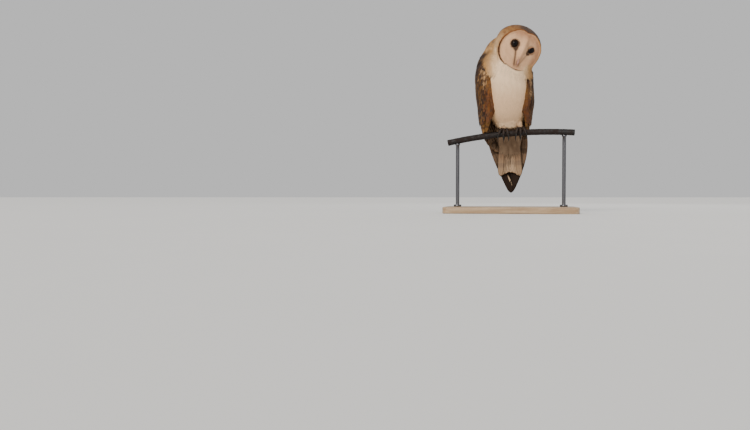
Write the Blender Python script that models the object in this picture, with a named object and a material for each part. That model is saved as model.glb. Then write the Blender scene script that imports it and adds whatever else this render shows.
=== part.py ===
"""Barn owl perched on a short length of curved bar, on a plain display stand.

The owl faces -Y, and its left side is at +X. Heights of the owl's parts are measured from the
bar's middle line under it, and lengths are in metres. The body is a field of blended eggs, and
every ring of the head, neck, trunk and wings is found by walking out from a curved spine to the
field's edge.
"""

import math
from collections import namedtuple

import bmesh
import bpy
import numpy as np
from mathutils import Matrix, Vector

# Stand and perch
BASE_LENGTH = 0.280
BASE_WIDTH = 0.160
BASE_THICKNESS = 0.014
BASE_CORNER = 0.012
ROD_RADIUS = 0.004
ROD_SPREAD = 0.113
PERCH_HEIGHT = 0.172
PERCH_RADIUS = 0.0065
PERCH_HALF_LENGTH = 0.135
PERCH_BEND_RADIUS = 0.95
PERCH_TOP_X = 0.066

# Pose, in degrees
BODY_TURN = 12.0
BODY_LEAN = 17.0
HEAD_TURN = 25.0
HEAD_TILT = 19.5
HEAD_NOD = 13.0

# Clearances
GAP = 0.0003
WING_CLEARANCE = 0.0015
BLEND = 0.005

# Spine that the rings are measured from, from the belly to the middle of the head
SPINE = np.array(
    [
        (-0.005, 0.018, 0.040),
        (-0.017, 0.004, 0.088),
        (-0.016, -0.008, 0.136),
        (0.0130, -0.019, 0.178),
    ]
)
SPINE_LENGTH = 0.145
NECK_CUT = 1.52
HEAD_CUT = 1.76

# Face, in the head's own frame: x to the owl's left, y to the back, z up
BROW_DEPTH = -0.002
BROW_Z = 0.0140
FACE_CUT = -0.016
FACE_OVAL_RADIUS = 0.060
FACE_OVAL_Z = 0.0165
DISC_MIDDLE_Z = -0.003
EYE_RADIUS = 0.0085
EYE_SIDE = 0.0192
EYE_DEPTH = -0.0278
EYE_Z = 0.0035
BILL_ROOT = (0.0, -0.033, -0.014)
BILL_TIP = (0.0, -0.0405, -0.0385)
BILL_RADIUS = 0.0048

# Wings, with angles round the body from the side (0) to the back (90). A wing slims by the given
# share of its thickness towards its top
WING_TOP = {-1: 0.172, 1: 0.134}
WING_BOTTOM = 0.012
WING_FRONT_ANGLE = -46.0
WING_REAR_ANGLE = 83.0
WING_THICKNESS = 0.0082
WING_SLIM = {-1: 0.0, 1: 0.55}
WING_DEEPEST = 0.0130
PRIMARY_TIP = -0.128
PRIMARY_THICKNESS = 0.0026

# Tail
TAIL_ROOT = Vector((-0.003, 0.029, 0.028))
TAIL_END = Vector((0.0, 0.0475, -0.086))

# Legs and feet
FOOT_X = (-0.0130, 0.0205)
LEG_TOP = 0.052
ANKLE_HEIGHT = 0.0160
TOE_RADIUS = 0.0031
CLAW_RADIUS = 0.0023
CLAW_LENGTH = 0.0165

COLOURS = {
    "feather_gold": (0.55, 0.33, 0.14, 0.85),
    "feather_face": (0.78, 0.66, 0.54, 0.85),
    "feather_white": (0.80, 0.72, 0.60, 0.85),
    "feather_brown": (0.30, 0.19, 0.11, 0.85),
    "feather_tail": (0.62, 0.52, 0.42, 0.85),
    "skin_foot": (0.10, 0.08, 0.07, 0.60),
    "horn_claw": (0.03, 0.025, 0.02, 0.35),
    "horn_bill": (0.66, 0.50, 0.43, 0.40),
    "eye": (0.01, 0.008, 0.007, 0.05),
    "bar": (0.10, 0.065, 0.05, 0.65),
    "stand_steel": (0.16, 0.16, 0.17, 0.45),
    "stand_wood": (0.60, 0.50, 0.38, 0.55),
}

Egg = namedtuple("Egg", "centre side front back up down axes")


def axes(turn=0.0, tilt=0.0, nod=0.0):
    """Columns are the turned x, y and z axes: nod about X, then tilt about Y, then turn about Z."""
    matrix = Matrix.Rotation(math.radians(turn), 3, "Z")
    matrix = matrix @ Matrix.Rotation(math.radians(tilt), 3, "Y")
    return np.array(matrix @ Matrix.Rotation(math.radians(nod), 3, "X"))


BODY_AXES = axes(BODY_TURN, 0.0, BODY_LEAN)
HEAD_AXES = axes(HEAD_TURN, HEAD_TILT, HEAD_NOD)
HEAD_CENTRE = np.array((0.0125, -0.0200, 0.1780))
DISC_CENTRE = HEAD_CENTRE + HEAD_AXES @ (0.0, -0.020, DISC_MIDDLE_Z)
BROW_CENTRE = HEAD_CENTRE + HEAD_AXES @ (0.0, BROW_DEPTH, BROW_Z)

EGGS = (
    # trunk, breast, flanks
    Egg((-0.0115, 0.003, 0.088), 0.0530, 0.048, 0.043, 0.085, 0.072, BODY_AXES),
    Egg((-0.0145, -0.009, 0.121), 0.0505, 0.041, 0.040, 0.044, 0.055, BODY_AXES),
    Egg((-0.0040, 0.010, 0.060), 0.0440, 0.034, 0.036, 0.060, 0.039, axes(BODY_TURN)),
    # hind neck, throat
    Egg((-0.0130, 0.008, 0.163), 0.0465, 0.038, 0.038, 0.048, 0.053, axes(18.0)),
    Egg((0.0010, -0.012, 0.143), 0.0370, 0.030, 0.034, 0.030, 0.040, axes(18.0)),
    # head, crown and the plate of the facial disc
    Egg(tuple(HEAD_CENTRE), 0.0465, 0.035, 0.043, 0.0455, 0.044, HEAD_AXES),
    Egg(tuple(BROW_CENTRE), 0.0460, 0.028, 0.036, 0.0295, 0.030, HEAD_AXES),
    Egg(tuple(DISC_CENTRE), 0.0440, 0.014, 0.014, 0.040, 0.0415, HEAD_AXES),
)


def egg_distance(points, egg):
    """Near enough the distance to an egg's surface: below zero inside."""
    local = (points - np.array(egg.centre)) @ egg.axes + 1e-7
    radii = np.stack(
        [
            np.full(local.shape[:-1], egg.side),
            np.where(local[..., 1] < 0, egg.front, egg.back),
            np.where(local[..., 2] > 0, egg.up, egg.down),
        ],
        axis=-1,
    )
    near = np.linalg.norm(local / radii, axis=-1)
    slope = np.linalg.norm(local / radii**2, axis=-1)
    return near * (near - 1) / slope


def body_field(points):
    """The blend of the eggs: a smooth least distance."""
    total = sum(np.exp(-egg_distance(points, egg) / BLEND) for egg in EGGS)
    return -BLEND * np.log(total)


def walk_out(origins, directions, offset=0.0):
    """How far along each ray from inside the body its field passes the offset, by halving."""
    low = np.zeros(directions.shape[:-1])
    high = np.full(directions.shape[:-1], 0.14)
    for _ in range(26):
        middle = (low + high) / 2
        inside = body_field(origins + directions * middle[..., None]) < offset
        low = np.where(inside, middle, low)
        high = np.where(inside, high, middle)
    return low


def spine_frame(share):
    """Point, along, side and back directions of the spine's Bezier curve at a share of 0 to 1."""
    share = np.asarray(share)[:, None]
    rest = 1 - share
    weights = (rest**3, 3 * rest**2 * share, 3 * rest * share**2, share**3)
    point = sum(weight * control for weight, control in zip(weights, SPINE))
    steps = np.diff(SPINE, axis=0)
    along = rest**2 * steps[0] + 2 * rest * share * steps[1] + share**2 * steps[2]
    along /= np.linalg.norm(along, axis=1, keepdims=True)
    ease = np.clip((share[:, 0] - 0.4) / 0.5, 0, 1)
    turn = np.radians(BODY_TURN + (HEAD_TURN - BODY_TURN) * ease * ease * (3 - 2 * ease))
    back = np.stack([-np.sin(turn), np.cos(turn), np.zeros_like(turn)], axis=1)
    back -= along * (back * along).sum(1, keepdims=True)
    back /= np.linalg.norm(back, axis=1, keepdims=True)
    return point, along, np.cross(back, along), back


def body_rings(stations, around, offset=0.0):
    """Rings of the body. Stations 0 to 1 fan over the belly's end, 1 to 2 climb the spine, and
    2 to 3 fan over the crown."""
    stations = np.asarray(stations, float)
    point, along, side, back = spine_frame(np.clip(stations - 1, 0, 1))
    rise = np.radians(90) * (np.clip(stations - 2, 0, 1) + np.clip(stations - 1, -1, 0))
    angle = np.linspace(0, 2 * math.pi, around, endpoint=False)
    flat = np.cos(angle)[:, None] * side[:, None] + np.sin(angle)[:, None] * back[:, None]
    rise = rise[:, None, None]
    directions = np.cos(rise) * flat + np.sin(rise) * along[:, None]
    distance = walk_out(point[:, None], directions, offset)
    rings = point[:, None] + directions * distance[..., None]
    return rings + face_relief(rings)


def face_relief(points):
    """Raises the ridge between the eyes and sinks a dish about each eye, towards the front."""
    local = (points - HEAD_CENTRE) @ HEAD_AXES
    x, y, z = local[..., 0], local[..., 1], local[..., 2]
    front = np.clip((-0.012 - y) / 0.010, 0, 1)
    ridge_z = np.clip((0.034 - z) / 0.020, 0, 1) * np.clip((z + 0.040) / 0.010, 0, 1)
    ridge = 0.0050 * np.exp(-((x / 0.0065) ** 2)) * ridge_z
    dish = 0.0030 * np.exp(-(((np.abs(x) - EYE_SIDE) ** 2 + (z - EYE_Z) ** 2) / 0.013**2))
    forward = -HEAD_AXES[:, 1]
    return (front * (ridge - dish))[..., None] * forward


def collection(name):
    made = bpy.data.collections.new(name)
    bpy.context.scene.collection.children.link(made)
    return made


def material(slot):
    made = bpy.data.materials.get(slot)
    if made:
        return made
    red, green, blue, roughness = COLOURS[slot]
    made = bpy.data.materials.new(slot)
    made.use_nodes = True
    shader = made.node_tree.nodes["Principled BSDF"]
    shader.inputs["Base Color"].default_value = (red, green, blue, 1.0)
    shader.inputs["Roughness"].default_value = roughness
    shader.inputs["Metallic"].default_value = 0.8 if slot == "stand_steel" else 0.0
    return made


def add_object(name, mesh, slot, home):
    obj = bpy.data.objects.new(name, mesh)
    home.objects.link(obj)
    if slot:
        mesh.materials.clear()
        mesh.materials.append(material(slot))
    else:
        obj.hide_render = True
        obj.display_type = "WIRE"
    return obj


def loft(name, rings, slot, home):
    """A closed solid through rings of points, counted anticlockwise about the way they climb. A
    ring shrunk to a point becomes one vertex. It stands on the perch's level."""
    rings = np.asarray(rings) + (0, 0, PERCH_HEIGHT)
    body = bmesh.new()
    rows = []
    for ring in rings:
        if np.ptp(ring, axis=0).max() < 1e-5:
            rows.append([body.verts.new(ring.mean(axis=0))] * len(ring))
        else:
            rows.append([body.verts.new(point) for point in ring])
    for low, high in zip(rows, rows[1:]):
        for i, j in zip(range(len(low)), [*range(1, len(low)), 0]):
            corners = dict.fromkeys([low[i], low[j], high[j], high[i]])
            body.faces.new(list(corners))
    if rows[0][0] is not rows[0][1]:
        body.faces.new(rows[0][::-1])
    if rows[-1][0] is not rows[-1][1]:
        body.faces.new(rows[-1])
    bmesh.ops.triangulate(body, faces=body.faces[:], ngon_method="EAR_CLIP")
    bmesh.ops.recalc_face_normals(body, faces=body.faces[:])
    mesh = bpy.data.meshes.new(name)
    body.to_mesh(mesh)
    body.free()
    mesh.shade_smooth()
    return add_object(name, mesh, slot, home)


def tapered_tube(name, points, radii, sides, slot, home):
    """A round rod along points, as thick at each as radii say, made a mesh with its caps welded."""
    curve = bpy.data.curves.new(name + "_path", "CURVE")
    curve.dimensions = "3D"
    curve.bevel_depth = 1.0
    curve.bevel_resolution = sides // 2 - 2
    curve.use_fill_caps = True
    spline = curve.splines.new("POLY")
    spline.points.add(len(points) - 1)
    for target, point, radius in zip(spline.points, points, radii):
        target.co = (point[0], point[1], point[2] + PERCH_HEIGHT, 1.0)
        target.radius = radius
    guide = bpy.data.objects.new(name + "_path", curve)
    home.objects.link(guide)
    graph = bpy.context.evaluated_depsgraph_get()
    mesh = bpy.data.meshes.new_from_object(guide.evaluated_get(graph))
    bpy.data.objects.remove(guide)
    body = bmesh.new()
    body.from_mesh(mesh)
    bmesh.ops.remove_doubles(body, verts=body.verts[:], dist=1e-6)
    bmesh.ops.recalc_face_normals(body, faces=body.faces[:])
    body.to_mesh(mesh)
    body.free()
    mesh.shade_smooth()
    return add_object(name, mesh, slot, home)


def boolean(obj, other, operation):
    modifier = obj.modifiers.new(other.name, "BOOLEAN")
    modifier.operation = operation
    modifier.solver = "EXACT"
    modifier.object = other


def perch_axis(x):
    """Point of the bar's middle line at x, in a gentle arc whose top is to one side."""
    drop = (x - PERCH_TOP_X) ** 2 - PERCH_TOP_X**2
    return np.array((x, 0.0, -drop / (2 * PERCH_BEND_RADIUS)))


def head_point(x, y, z):
    return HEAD_CENTRE + HEAD_AXES @ (x, y, z)


def make_body(parts, cutters):
    """Head, facial disc, neck and trunk, parted by thin cuts across one form."""
    half = 0.75 * GAP / SPINE_LENGTH
    loft("trunk", body_rings(np.linspace(0, NECK_CUT - half, 17), 30), "feather_white", parts)
    neck = np.linspace(NECK_CUT + half, HEAD_CUT - half, 4)
    head = np.linspace(HEAD_CUT + half, 3, 17)
    whole_head = np.linspace(NECK_CUT + half, 3, 20)
    for name, stations, slot, operation, inset in (
        ("neck", neck, "feather_white", "DIFFERENCE", 0.0),
        ("head", head, "feather_gold", "DIFFERENCE", 0.0),
        ("facial_disc", whole_head, "feather_face", "INTERSECT", GAP),
    ):
        solid = loft(name, body_rings(stations, 40), slot, parts)
        boolean(solid, face_block("front_of_" + name, inset, cutters), operation)
    return loft("whole_body", body_rings(np.linspace(0, 3, 26), 26, 2 * GAP), None, cutters)


def face_block(name, inset, cutters):
    """A round block that holds the facial disc: all that lies in front of a plane across the head,
    down to the chin."""
    depth = 0.08
    bpy.ops.mesh.primitive_cylinder_add(vertices=64, radius=FACE_OVAL_RADIUS - inset, depth=depth)
    block = bpy.context.object
    block.name = name
    frame = Matrix(HEAD_AXES.tolist()).to_4x4() @ Matrix.Rotation(math.radians(90), 4, "X")
    middle = Vector(head_point(0, FACE_CUT - inset - depth / 2, FACE_OVAL_Z))
    block.matrix_world = Matrix.Translation(middle + Vector((0, 0, PERCH_HEIGHT))) @ frame
    block.hide_render = True
    block.display_type = "WIRE"
    move_to(block, cutters)
    return block


def move_to(obj, home):
    for old in obj.users_collection:
        old.objects.unlink(obj)
    home.objects.link(obj)


def ball(name, centre, radius, slot, home, segments=14, rings=8):
    bpy.ops.mesh.primitive_uv_sphere_add(segments=segments, ring_count=rings, radius=radius)
    made = bpy.context.object
    made.name = name
    made.data.name = name
    made.location = Vector(centre) + Vector((0, 0, PERCH_HEIGHT))
    made.data.shade_smooth()
    if slot:
        made.data.materials.append(material(slot))
    else:
        made.hide_render = True
        made.display_type = "WIRE"
    move_to(made, home)
    return made


def bill_path(count):
    """Middle line of the bill: down and forward from its root, then hooked back at the tip."""
    share = np.linspace(0, 1, count)
    root, tip = np.array(BILL_ROOT), np.array(BILL_TIP)
    straight = root + (tip - root) * share[:, None]
    straight[:, 1] -= 0.0035 * np.sin(math.pi * share**0.8)
    return np.array([head_point(*point) for point in straight])


def make_face_parts(parts, cutters):
    disc = parts.objects["facial_disc"]
    for side, word in ((-1, "right"), (1, "left")):
        centre = head_point(side * EYE_SIDE, EYE_DEPTH, EYE_Z)
        ball("eye_" + word, centre, EYE_RADIUS, "eye", parts)
        socket = ball("socket_" + word, centre, EYE_RADIUS + 1.5 * GAP, None, cutters)
        boolean(disc, socket, "DIFFERENCE")
    path = bill_path(8)
    taper = BILL_RADIUS * (1 - np.linspace(0, 1, 8) ** 2.2 * 0.88)
    tapered_tube("bill", path, taper, 10, "horn_bill", parts)
    hole = tapered_tube("bill_hole", path, taper + 1.5 * GAP, 10, None, cutters)
    boolean(disc, hole, "DIFFERENCE")


def wing_axis(height):
    """Middle of the body at a height, which the wings' angles are measured about."""
    share = np.clip((height - 0.01) / 0.15, 0, 1)
    return np.stack([-0.010 - 0.003 * share, 0.013 - 0.016 * share, height], axis=-1)


def folded_outline(height, angle):
    """Distance from the wings' axis to their outer face low down, where they stand off the body."""
    width = 0.0620 - 0.75 * np.clip(0.095 - height, 0, 1) ** 2
    depth = 0.0500 - 0.55 * np.clip(0.095 - height, 0, 1) ** 2
    width = width - 0.9 * np.clip(height - 0.120, 0, 1)
    depth = depth - 0.9 * np.clip(height - 0.095, 0, 1)
    return 1 / np.hypot(np.cos(angle) / width[:, None], np.sin(angle) / depth[:, None])


def wing_rings(side, count, across):
    """Level rings of a folded wing: along its outer face, then back along the face on the body."""
    height = np.linspace(WING_BOTTOM, WING_TOP[side], count)
    rise = (height - WING_BOTTOM) / (WING_TOP[side] - WING_BOTTOM)
    shoulder = np.sqrt(np.clip(1 - np.clip((rise - 0.78) / 0.23, 0, 1) ** 2, 0, 1))
    low = np.clip(1 - (height - WING_BOTTOM) / 0.036, 0, 1)
    front = WING_FRONT_ANGLE * (0.08 + 0.92 * shoulder) + 22 * low
    rear = WING_REAR_ANGLE - 76 * np.clip((rise - 0.42) / 0.58, 0, 1) ** 2
    share = np.linspace(0, 1, across)
    angle = np.radians(front[:, None] + (rear - front)[:, None] * share)
    turn = math.radians(BODY_TURN)
    flat = np.stack([side * np.cos(angle), np.sin(angle), np.zeros_like(angle)], axis=-1)
    spin = np.array(((math.cos(turn), -math.sin(turn), 0), (math.sin(turn), math.cos(turn), 0), (0, 0, 1)))
    directions = flat @ spin.T
    origins = wing_axis(height)[:, None]
    slim = 1 - WING_SLIM[side] * np.clip((rise - 0.45) / 0.45, 0, 1)
    swell = (WING_THICKNESS * slim * (0.18 + 0.82 * shoulder))[:, None]
    edge = 0.12 + 0.88 * np.sin(math.pi * share) ** 0.55
    clear = WING_CLEARANCE * (1 + np.clip((rise - 0.7) / 0.3, 0, 1))[:, None]
    body = walk_out(origins, directions, clear)
    outer = walk_out(origins, directions, swell * edge + clear)
    stand_off = folded_outline(height, angle) - WING_THICKNESS * (1 - edge)
    outer = np.maximum(outer, stand_off)
    inner = np.maximum(body, outer - (WING_DEEPEST - 0.009 * low)[:, None])
    outer = origins + directions * outer[..., None]
    inner = origins + directions * inner[..., None]
    return np.concatenate([outer, inner[:, ::-1]], axis=1)


def rear_end(height):
    """Half-width, front edge, rear face and middle of the folded flight feathers at a height."""
    fall = (height - PRIMARY_TIP) / (WING_BOTTOM - PRIMARY_TIP)
    half_width = 0.0030 + 0.0455 * np.sin(fall * math.pi / 2)
    front = 0.0565 - 0.0345 * fall**1.3
    rear = 0.0590 - 0.0090 * fall**1.6
    middle = 0.0020 - 0.0105 * fall**2.2
    return fall, half_width, front, rear, middle


def primary_rings(side, count, across):
    """Level rings of the long flight feathers, a thin blade that runs down behind the tail."""
    height = np.linspace(PRIMARY_TIP, WING_BOTTOM - 2 * GAP, count)
    fall, half_width, front, rear, middle = (row[..., None] for row in rear_end(height))
    angle = np.radians(np.linspace(0, 89, across))
    slant = math.radians(BODY_TURN) * fall**2
    outer = [
        middle + side * half_width * np.cos(angle) - (rear - front) * np.sin(angle) * np.sin(slant),
        front + (rear - front) * np.sin(angle) + side * half_width * np.cos(angle) * np.sin(slant),
        np.broadcast_to(height[:, None], (count, across)),
    ]
    outer = np.stack(outer, axis=-1)
    inner = outer - np.stack(
        [
            side * PRIMARY_THICKNESS * np.cos(angle) ** 2 * np.minimum(1, fall * 4),
            PRIMARY_THICKNESS * np.broadcast_to(np.sin(angle), (count, across)),
            np.zeros((count, across)),
        ],
        axis=-1,
    )
    inner[..., 1] -= 0.0006
    return np.concatenate([outer, inner[:, ::-1]], axis=1)


def make_wings(parts):
    for side, word in ((-1, "right"), (1, "left")):
        rings = wing_rings(side, 15, 11)
        loft("wing_" + word, rings, "feather_brown", parts)
        loft("primaries_" + word, primary_rings(side, 12, 8), "feather_brown", parts)


def make_tail(parts, whole_body):
    """A flattened loft from under the vent to the square end of the tail feathers."""
    share = np.linspace(0, 1, 12)
    run = [np.array(TAIL_ROOT.lerp(TAIL_END, part)) for part in share]
    half_width = 0.0315 - 0.0035 * share - 0.0075 * np.clip((share - 0.72) / 0.28, 0, 1) ** 2
    half_thick = 0.0014 + 0.0115 * (1 - share) ** 1.4
    along = np.array((TAIL_END - TAIL_ROOT).normalized())
    across = np.array((math.cos(math.radians(5)), math.sin(math.radians(5)), 0.0))
    through = np.cross(along, across)
    angle = np.linspace(0, 2 * math.pi, 20, endpoint=False)
    rings = [
        point + w * np.cos(angle)[:, None] * across + t * np.sin(angle)[:, None] * through
        for point, w, t in zip(run, half_width, half_thick)
    ]
    tail = loft("tail", rings, "feather_tail", parts)
    boolean(tail, whole_body, "DIFFERENCE")


def toe_path(foot_x, start, splay, reach_angle, back):
    """A toe that starts on top of the bar and wraps over its front, or over its back."""
    share = np.linspace(0, 1, 6)
    radius = PERCH_RADIUS + GAP + TOE_RADIUS
    angle = np.radians(reach_angle) * share
    points = []
    for part, turn in zip(share, angle):
        centre = perch_axis(foot_x + start + splay * part)
        lift = radius + 0.0008 * math.sin(math.pi * part)
        points.append(centre + np.array((0, back * lift * math.sin(turn), lift * math.cos(turn))))
    points = np.array(points)
    heading = points[-1] - points[-2]
    return points, heading / np.linalg.norm(heading)


def claw_path(tip, heading, back):
    """A claw leaves the toe's end along its heading and hooks back beneath the bar."""
    share = np.linspace(0, 1, 6)[:, None]
    down = np.array((0.0, -0.30 * back, -1.0))
    straight = tip + heading * GAP * 3 + CLAW_LENGTH * share * (heading * (1 - share) + down * share)
    return straight + np.array((0, -back * 0.003, 0)) * share**2


def make_legs(parts, cutters):
    trunk = parts.objects["trunk"]
    toes = (
        ("inner", -0.0036, -0.0050, 104, -1),
        ("middle", 0.0004, 0.0010, 112, -1),
        ("outer", 0.0042, 0.0080, 98, -1),
        ("hind", 0.0000, 0.0, 84, 1),
    )
    for foot_x, side, word in ((FOOT_X[0], -1, "right"), (FOOT_X[1], 1, "left")):
        ankle = perch_axis(foot_x) + (0, 0, ANKLE_HEIGHT)
        hip = np.array((foot_x * 0.95 - 0.004, 0.006, LEG_TOP))
        share = np.linspace(0, 1, 6)[:, None]
        run = ankle + (hip - ankle) * share + (0, 0, 2 * GAP)
        radii = 0.0056 + 0.0050 * share[:, 0] ** 0.8
        tapered_tube("leg_" + word, run, radii, 10, "feather_white", parts)
        pocket = tapered_tube("leg_hole_" + word, run, radii + 1.5 * GAP, 10, None, cutters)
        boolean(trunk, pocket, "DIFFERENCE")
        pad_centre = perch_axis(foot_x) + (0, 0, PERCH_RADIUS + GAP + 0.0046)
        foot = ball("foot_" + word, pad_centre, 0.0046, "skin_foot", parts, 10, 7)
        for toe, start, splay, angle, back in toes:
            path, heading = toe_path(foot_x, side * start, side * splay, angle, back)
            toe_radii = TOE_RADIUS * (1 - 0.18 * np.linspace(0, 1, len(path)))
            operand = tapered_tube(f"toe_{word}_{toe}", path, toe_radii, 6, None, cutters)
            boolean(foot, operand, "UNION")
            claw = claw_path(path[-1], heading, back)
            claw_radii = CLAW_RADIUS * (1 - 0.90 * np.linspace(0, 1, len(claw)) ** 1.3)
            tapered_tube(f"claw_{word}_{toe}", claw, claw_radii, 6, "horn_claw", parts)


def make_perch_and_stand(parts, cutters):
    steps = np.linspace(-PERCH_HALF_LENGTH, PERCH_HALF_LENGTH, 13)
    path = [perch_axis(x) for x in steps]
    radii = np.full(len(path), PERCH_RADIUS)
    tapered_tube("perch", path, radii, 14, "bar", parts)
    saddle = tapered_tube("saddle", path, radii + GAP, 14, None, cutters)
    for side, word in ((-1, "right"), (1, "left")):
        top = PERCH_HEIGHT + perch_axis(side * ROD_SPREAD)[2]
        bottom = BASE_THICKNESS + GAP
        bpy.ops.mesh.primitive_cylinder_add(vertices=16, radius=ROD_RADIUS, depth=top - bottom)
        rod = bpy.context.object
        rod.name = "stand_rod_" + word
        rod.location = (side * ROD_SPREAD, 0, (top + bottom) / 2)
        rod.data.materials.append(material("stand_steel"))
        rod.data.shade_smooth()
        rod.data.set_sharp_from_angle(angle=math.radians(40))
        move_to(rod, parts)
        boolean(rod, saddle, "DIFFERENCE")
    bpy.ops.mesh.primitive_cube_add(size=1.0)
    base = bpy.context.object
    base.name = "stand_base"
    base.data.transform(Matrix.Diagonal((BASE_LENGTH, BASE_WIDTH, BASE_THICKNESS, 1.0)))
    base.location = (0, 0, BASE_THICKNESS / 2)
    body = bmesh.new()
    body.from_mesh(base.data)
    uprights = [edge for edge in body.edges if abs(edge.verts[0].co.z - edge.verts[1].co.z) > 1e-4]
    bmesh.ops.bevel(body, geom=uprights, offset=BASE_CORNER, segments=4, profile=0.5, affect="EDGES")
    body.to_mesh(base.data)
    body.free()
    base.data.materials.append(material("stand_wood"))
    move_to(base, parts)


def main():
    for obj in list(bpy.data.objects):
        bpy.data.objects.remove(obj)
    parts = collection("barn_owl")
    cutters = collection("cutters")
    whole_body = make_body(parts, cutters)
    make_face_parts(parts, cutters)
    make_wings(parts)
    make_tail(parts, whole_body)
    make_legs(parts, cutters)
    make_perch_and_stand(parts, cutters)


main()
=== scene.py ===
"""Looks of the barn owl on its bar: skin, plumage, face, feet, bar, stand and stage.

The owl faces -Y, and its left side is at +X. Its forms are worked out in its own frame, whose
origin is on the bar's middle line, and each mesh is lifted by PERCH_HEIGHT when it is made. Lengths
are in metres. The body is the same field of blended eggs as the solids, so skin and feathers lie
where the solids are.
"""

import math
from collections import namedtuple
from functools import reduce
from types import SimpleNamespace

import bpy
import numpy as np
from bpy.props import FloatProperty, FloatVectorProperty, IntProperty, PointerProperty
from mathutils import Matrix, Vector


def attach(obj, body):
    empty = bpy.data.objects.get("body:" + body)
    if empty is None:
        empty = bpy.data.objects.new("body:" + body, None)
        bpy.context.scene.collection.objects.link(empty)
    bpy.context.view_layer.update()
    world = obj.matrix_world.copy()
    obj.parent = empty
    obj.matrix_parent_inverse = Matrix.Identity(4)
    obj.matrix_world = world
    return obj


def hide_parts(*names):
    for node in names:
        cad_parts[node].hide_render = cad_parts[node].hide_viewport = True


bl_info = {
    "name": "Barn Owl on a Bar",
    "version": (1, 0, 0),
    "blender": (4, 5, 0),
    "location": "View3D > Sidebar > Owl",
    "description": "Builds a perched barn owl with its plumage, bar, stand and stage",
    "category": "Add Mesh",
}

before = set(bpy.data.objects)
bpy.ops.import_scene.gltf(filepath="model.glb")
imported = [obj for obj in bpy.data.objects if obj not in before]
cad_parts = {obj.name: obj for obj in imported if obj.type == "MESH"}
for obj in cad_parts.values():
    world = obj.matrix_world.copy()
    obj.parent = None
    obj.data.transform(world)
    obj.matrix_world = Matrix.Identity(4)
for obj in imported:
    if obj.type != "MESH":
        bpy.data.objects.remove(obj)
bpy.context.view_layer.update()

# Stand and perch
PERCH_HEIGHT = 0.172
PERCH_RADIUS = 0.0065
PERCH_HALF_LENGTH = 0.1345
PERCH_BEND_RADIUS = 0.95
PERCH_TOP_X = 0.066
LIFT = np.array((0.0, 0.0, PERCH_HEIGHT))

# Pose, in degrees
BODY_TURN = 12.0
BODY_LEAN = 17.0
HEAD_TURN = 25.0
HEAD_TILT = 19.5
HEAD_NOD = 13.0

# Spine and head, as in the solids
BLEND = 0.005
RAY_LENGTH = 0.14
RAY_HALVINGS = 22
SPINE = np.array(((-0.005, 0.018, 0.040), (-0.017, 0.004, 0.088), (-0.016, -0.008, 0.136),
                  (0.0130, -0.019, 0.178)))
EYE_RADIUS = 0.0085
EYE_SIDE = 0.0192
EYE_DEPTH = -0.0278
EYE_Z = 0.0035
NECK_CREASE = np.array((-0.034, -0.047, 0.147))
CREASE_RADIUS = 0.017
LID_OPEN = {-1: 0.0077, 1: 0.0072}
LID_DROOP = {-1: 0.14, 1: 0.36}
LID_INNER, LID_EDGE, LID_OUTER = 0.0001, 0.00045, 0.0008
LID_BACK = 1.45
BILL_ROOT = np.array((0.0, -0.033, -0.014))
BILL_TIP = np.array((0.0, -0.0405, -0.0385))
DISC_Z = -0.005
DISC_HALF_WIDTH = 0.0430
DISC_HALF_HEIGHT = 0.0385

# Wings and tail
WING_CLEARANCE = 0.0015
WING_TOP = {-1: 0.172, 1: 0.134}
WING_BOTTOM = 0.012
WING_FRONT_ANGLE = -46.0
WING_REAR_ANGLE = 83.0
WING_THICKNESS = 0.0082
WING_SLIM = {-1: 0.0, 1: 0.55}
COVERT_TOP = 0.925
COVERT_SPACE = 0.040
PRIMARY_TIP = -0.128
TAIL_ROOT = np.array((-0.003, 0.029, 0.028))
TAIL_END = np.array((0.0, 0.0475, -0.086))
FOOT_X = (-0.0130, 0.0205)
ANKLE_HEIGHT = 0.0145
ROD_SPREAD = 0.113

# Stage, with the camera's angles in degrees from straight down and from the front
FLOOR_REACH = 60.0
CAMERA_TILT = 88.577
CAMERA_TURN = 10.516

SIDES = (("right", -1), ("left", 1))
SEED = 7
SIDE_SHADING = 0.22
R2_STEPS = (0.7548776662, 0.5698402910)
Egg = namedtuple("Egg", "centre side front back up down axes")


def axes(turn=0.0, tilt=0.0, nod=0.0):
    """Columns are the turned x, y and z axes: nod about X, then tilt about Y, then turn about Z."""
    matrix = Matrix.Rotation(math.radians(turn), 3, "Z")
    matrix = matrix @ Matrix.Rotation(math.radians(tilt), 3, "Y")
    return np.array(matrix @ Matrix.Rotation(math.radians(nod), 3, "X"))


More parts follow.
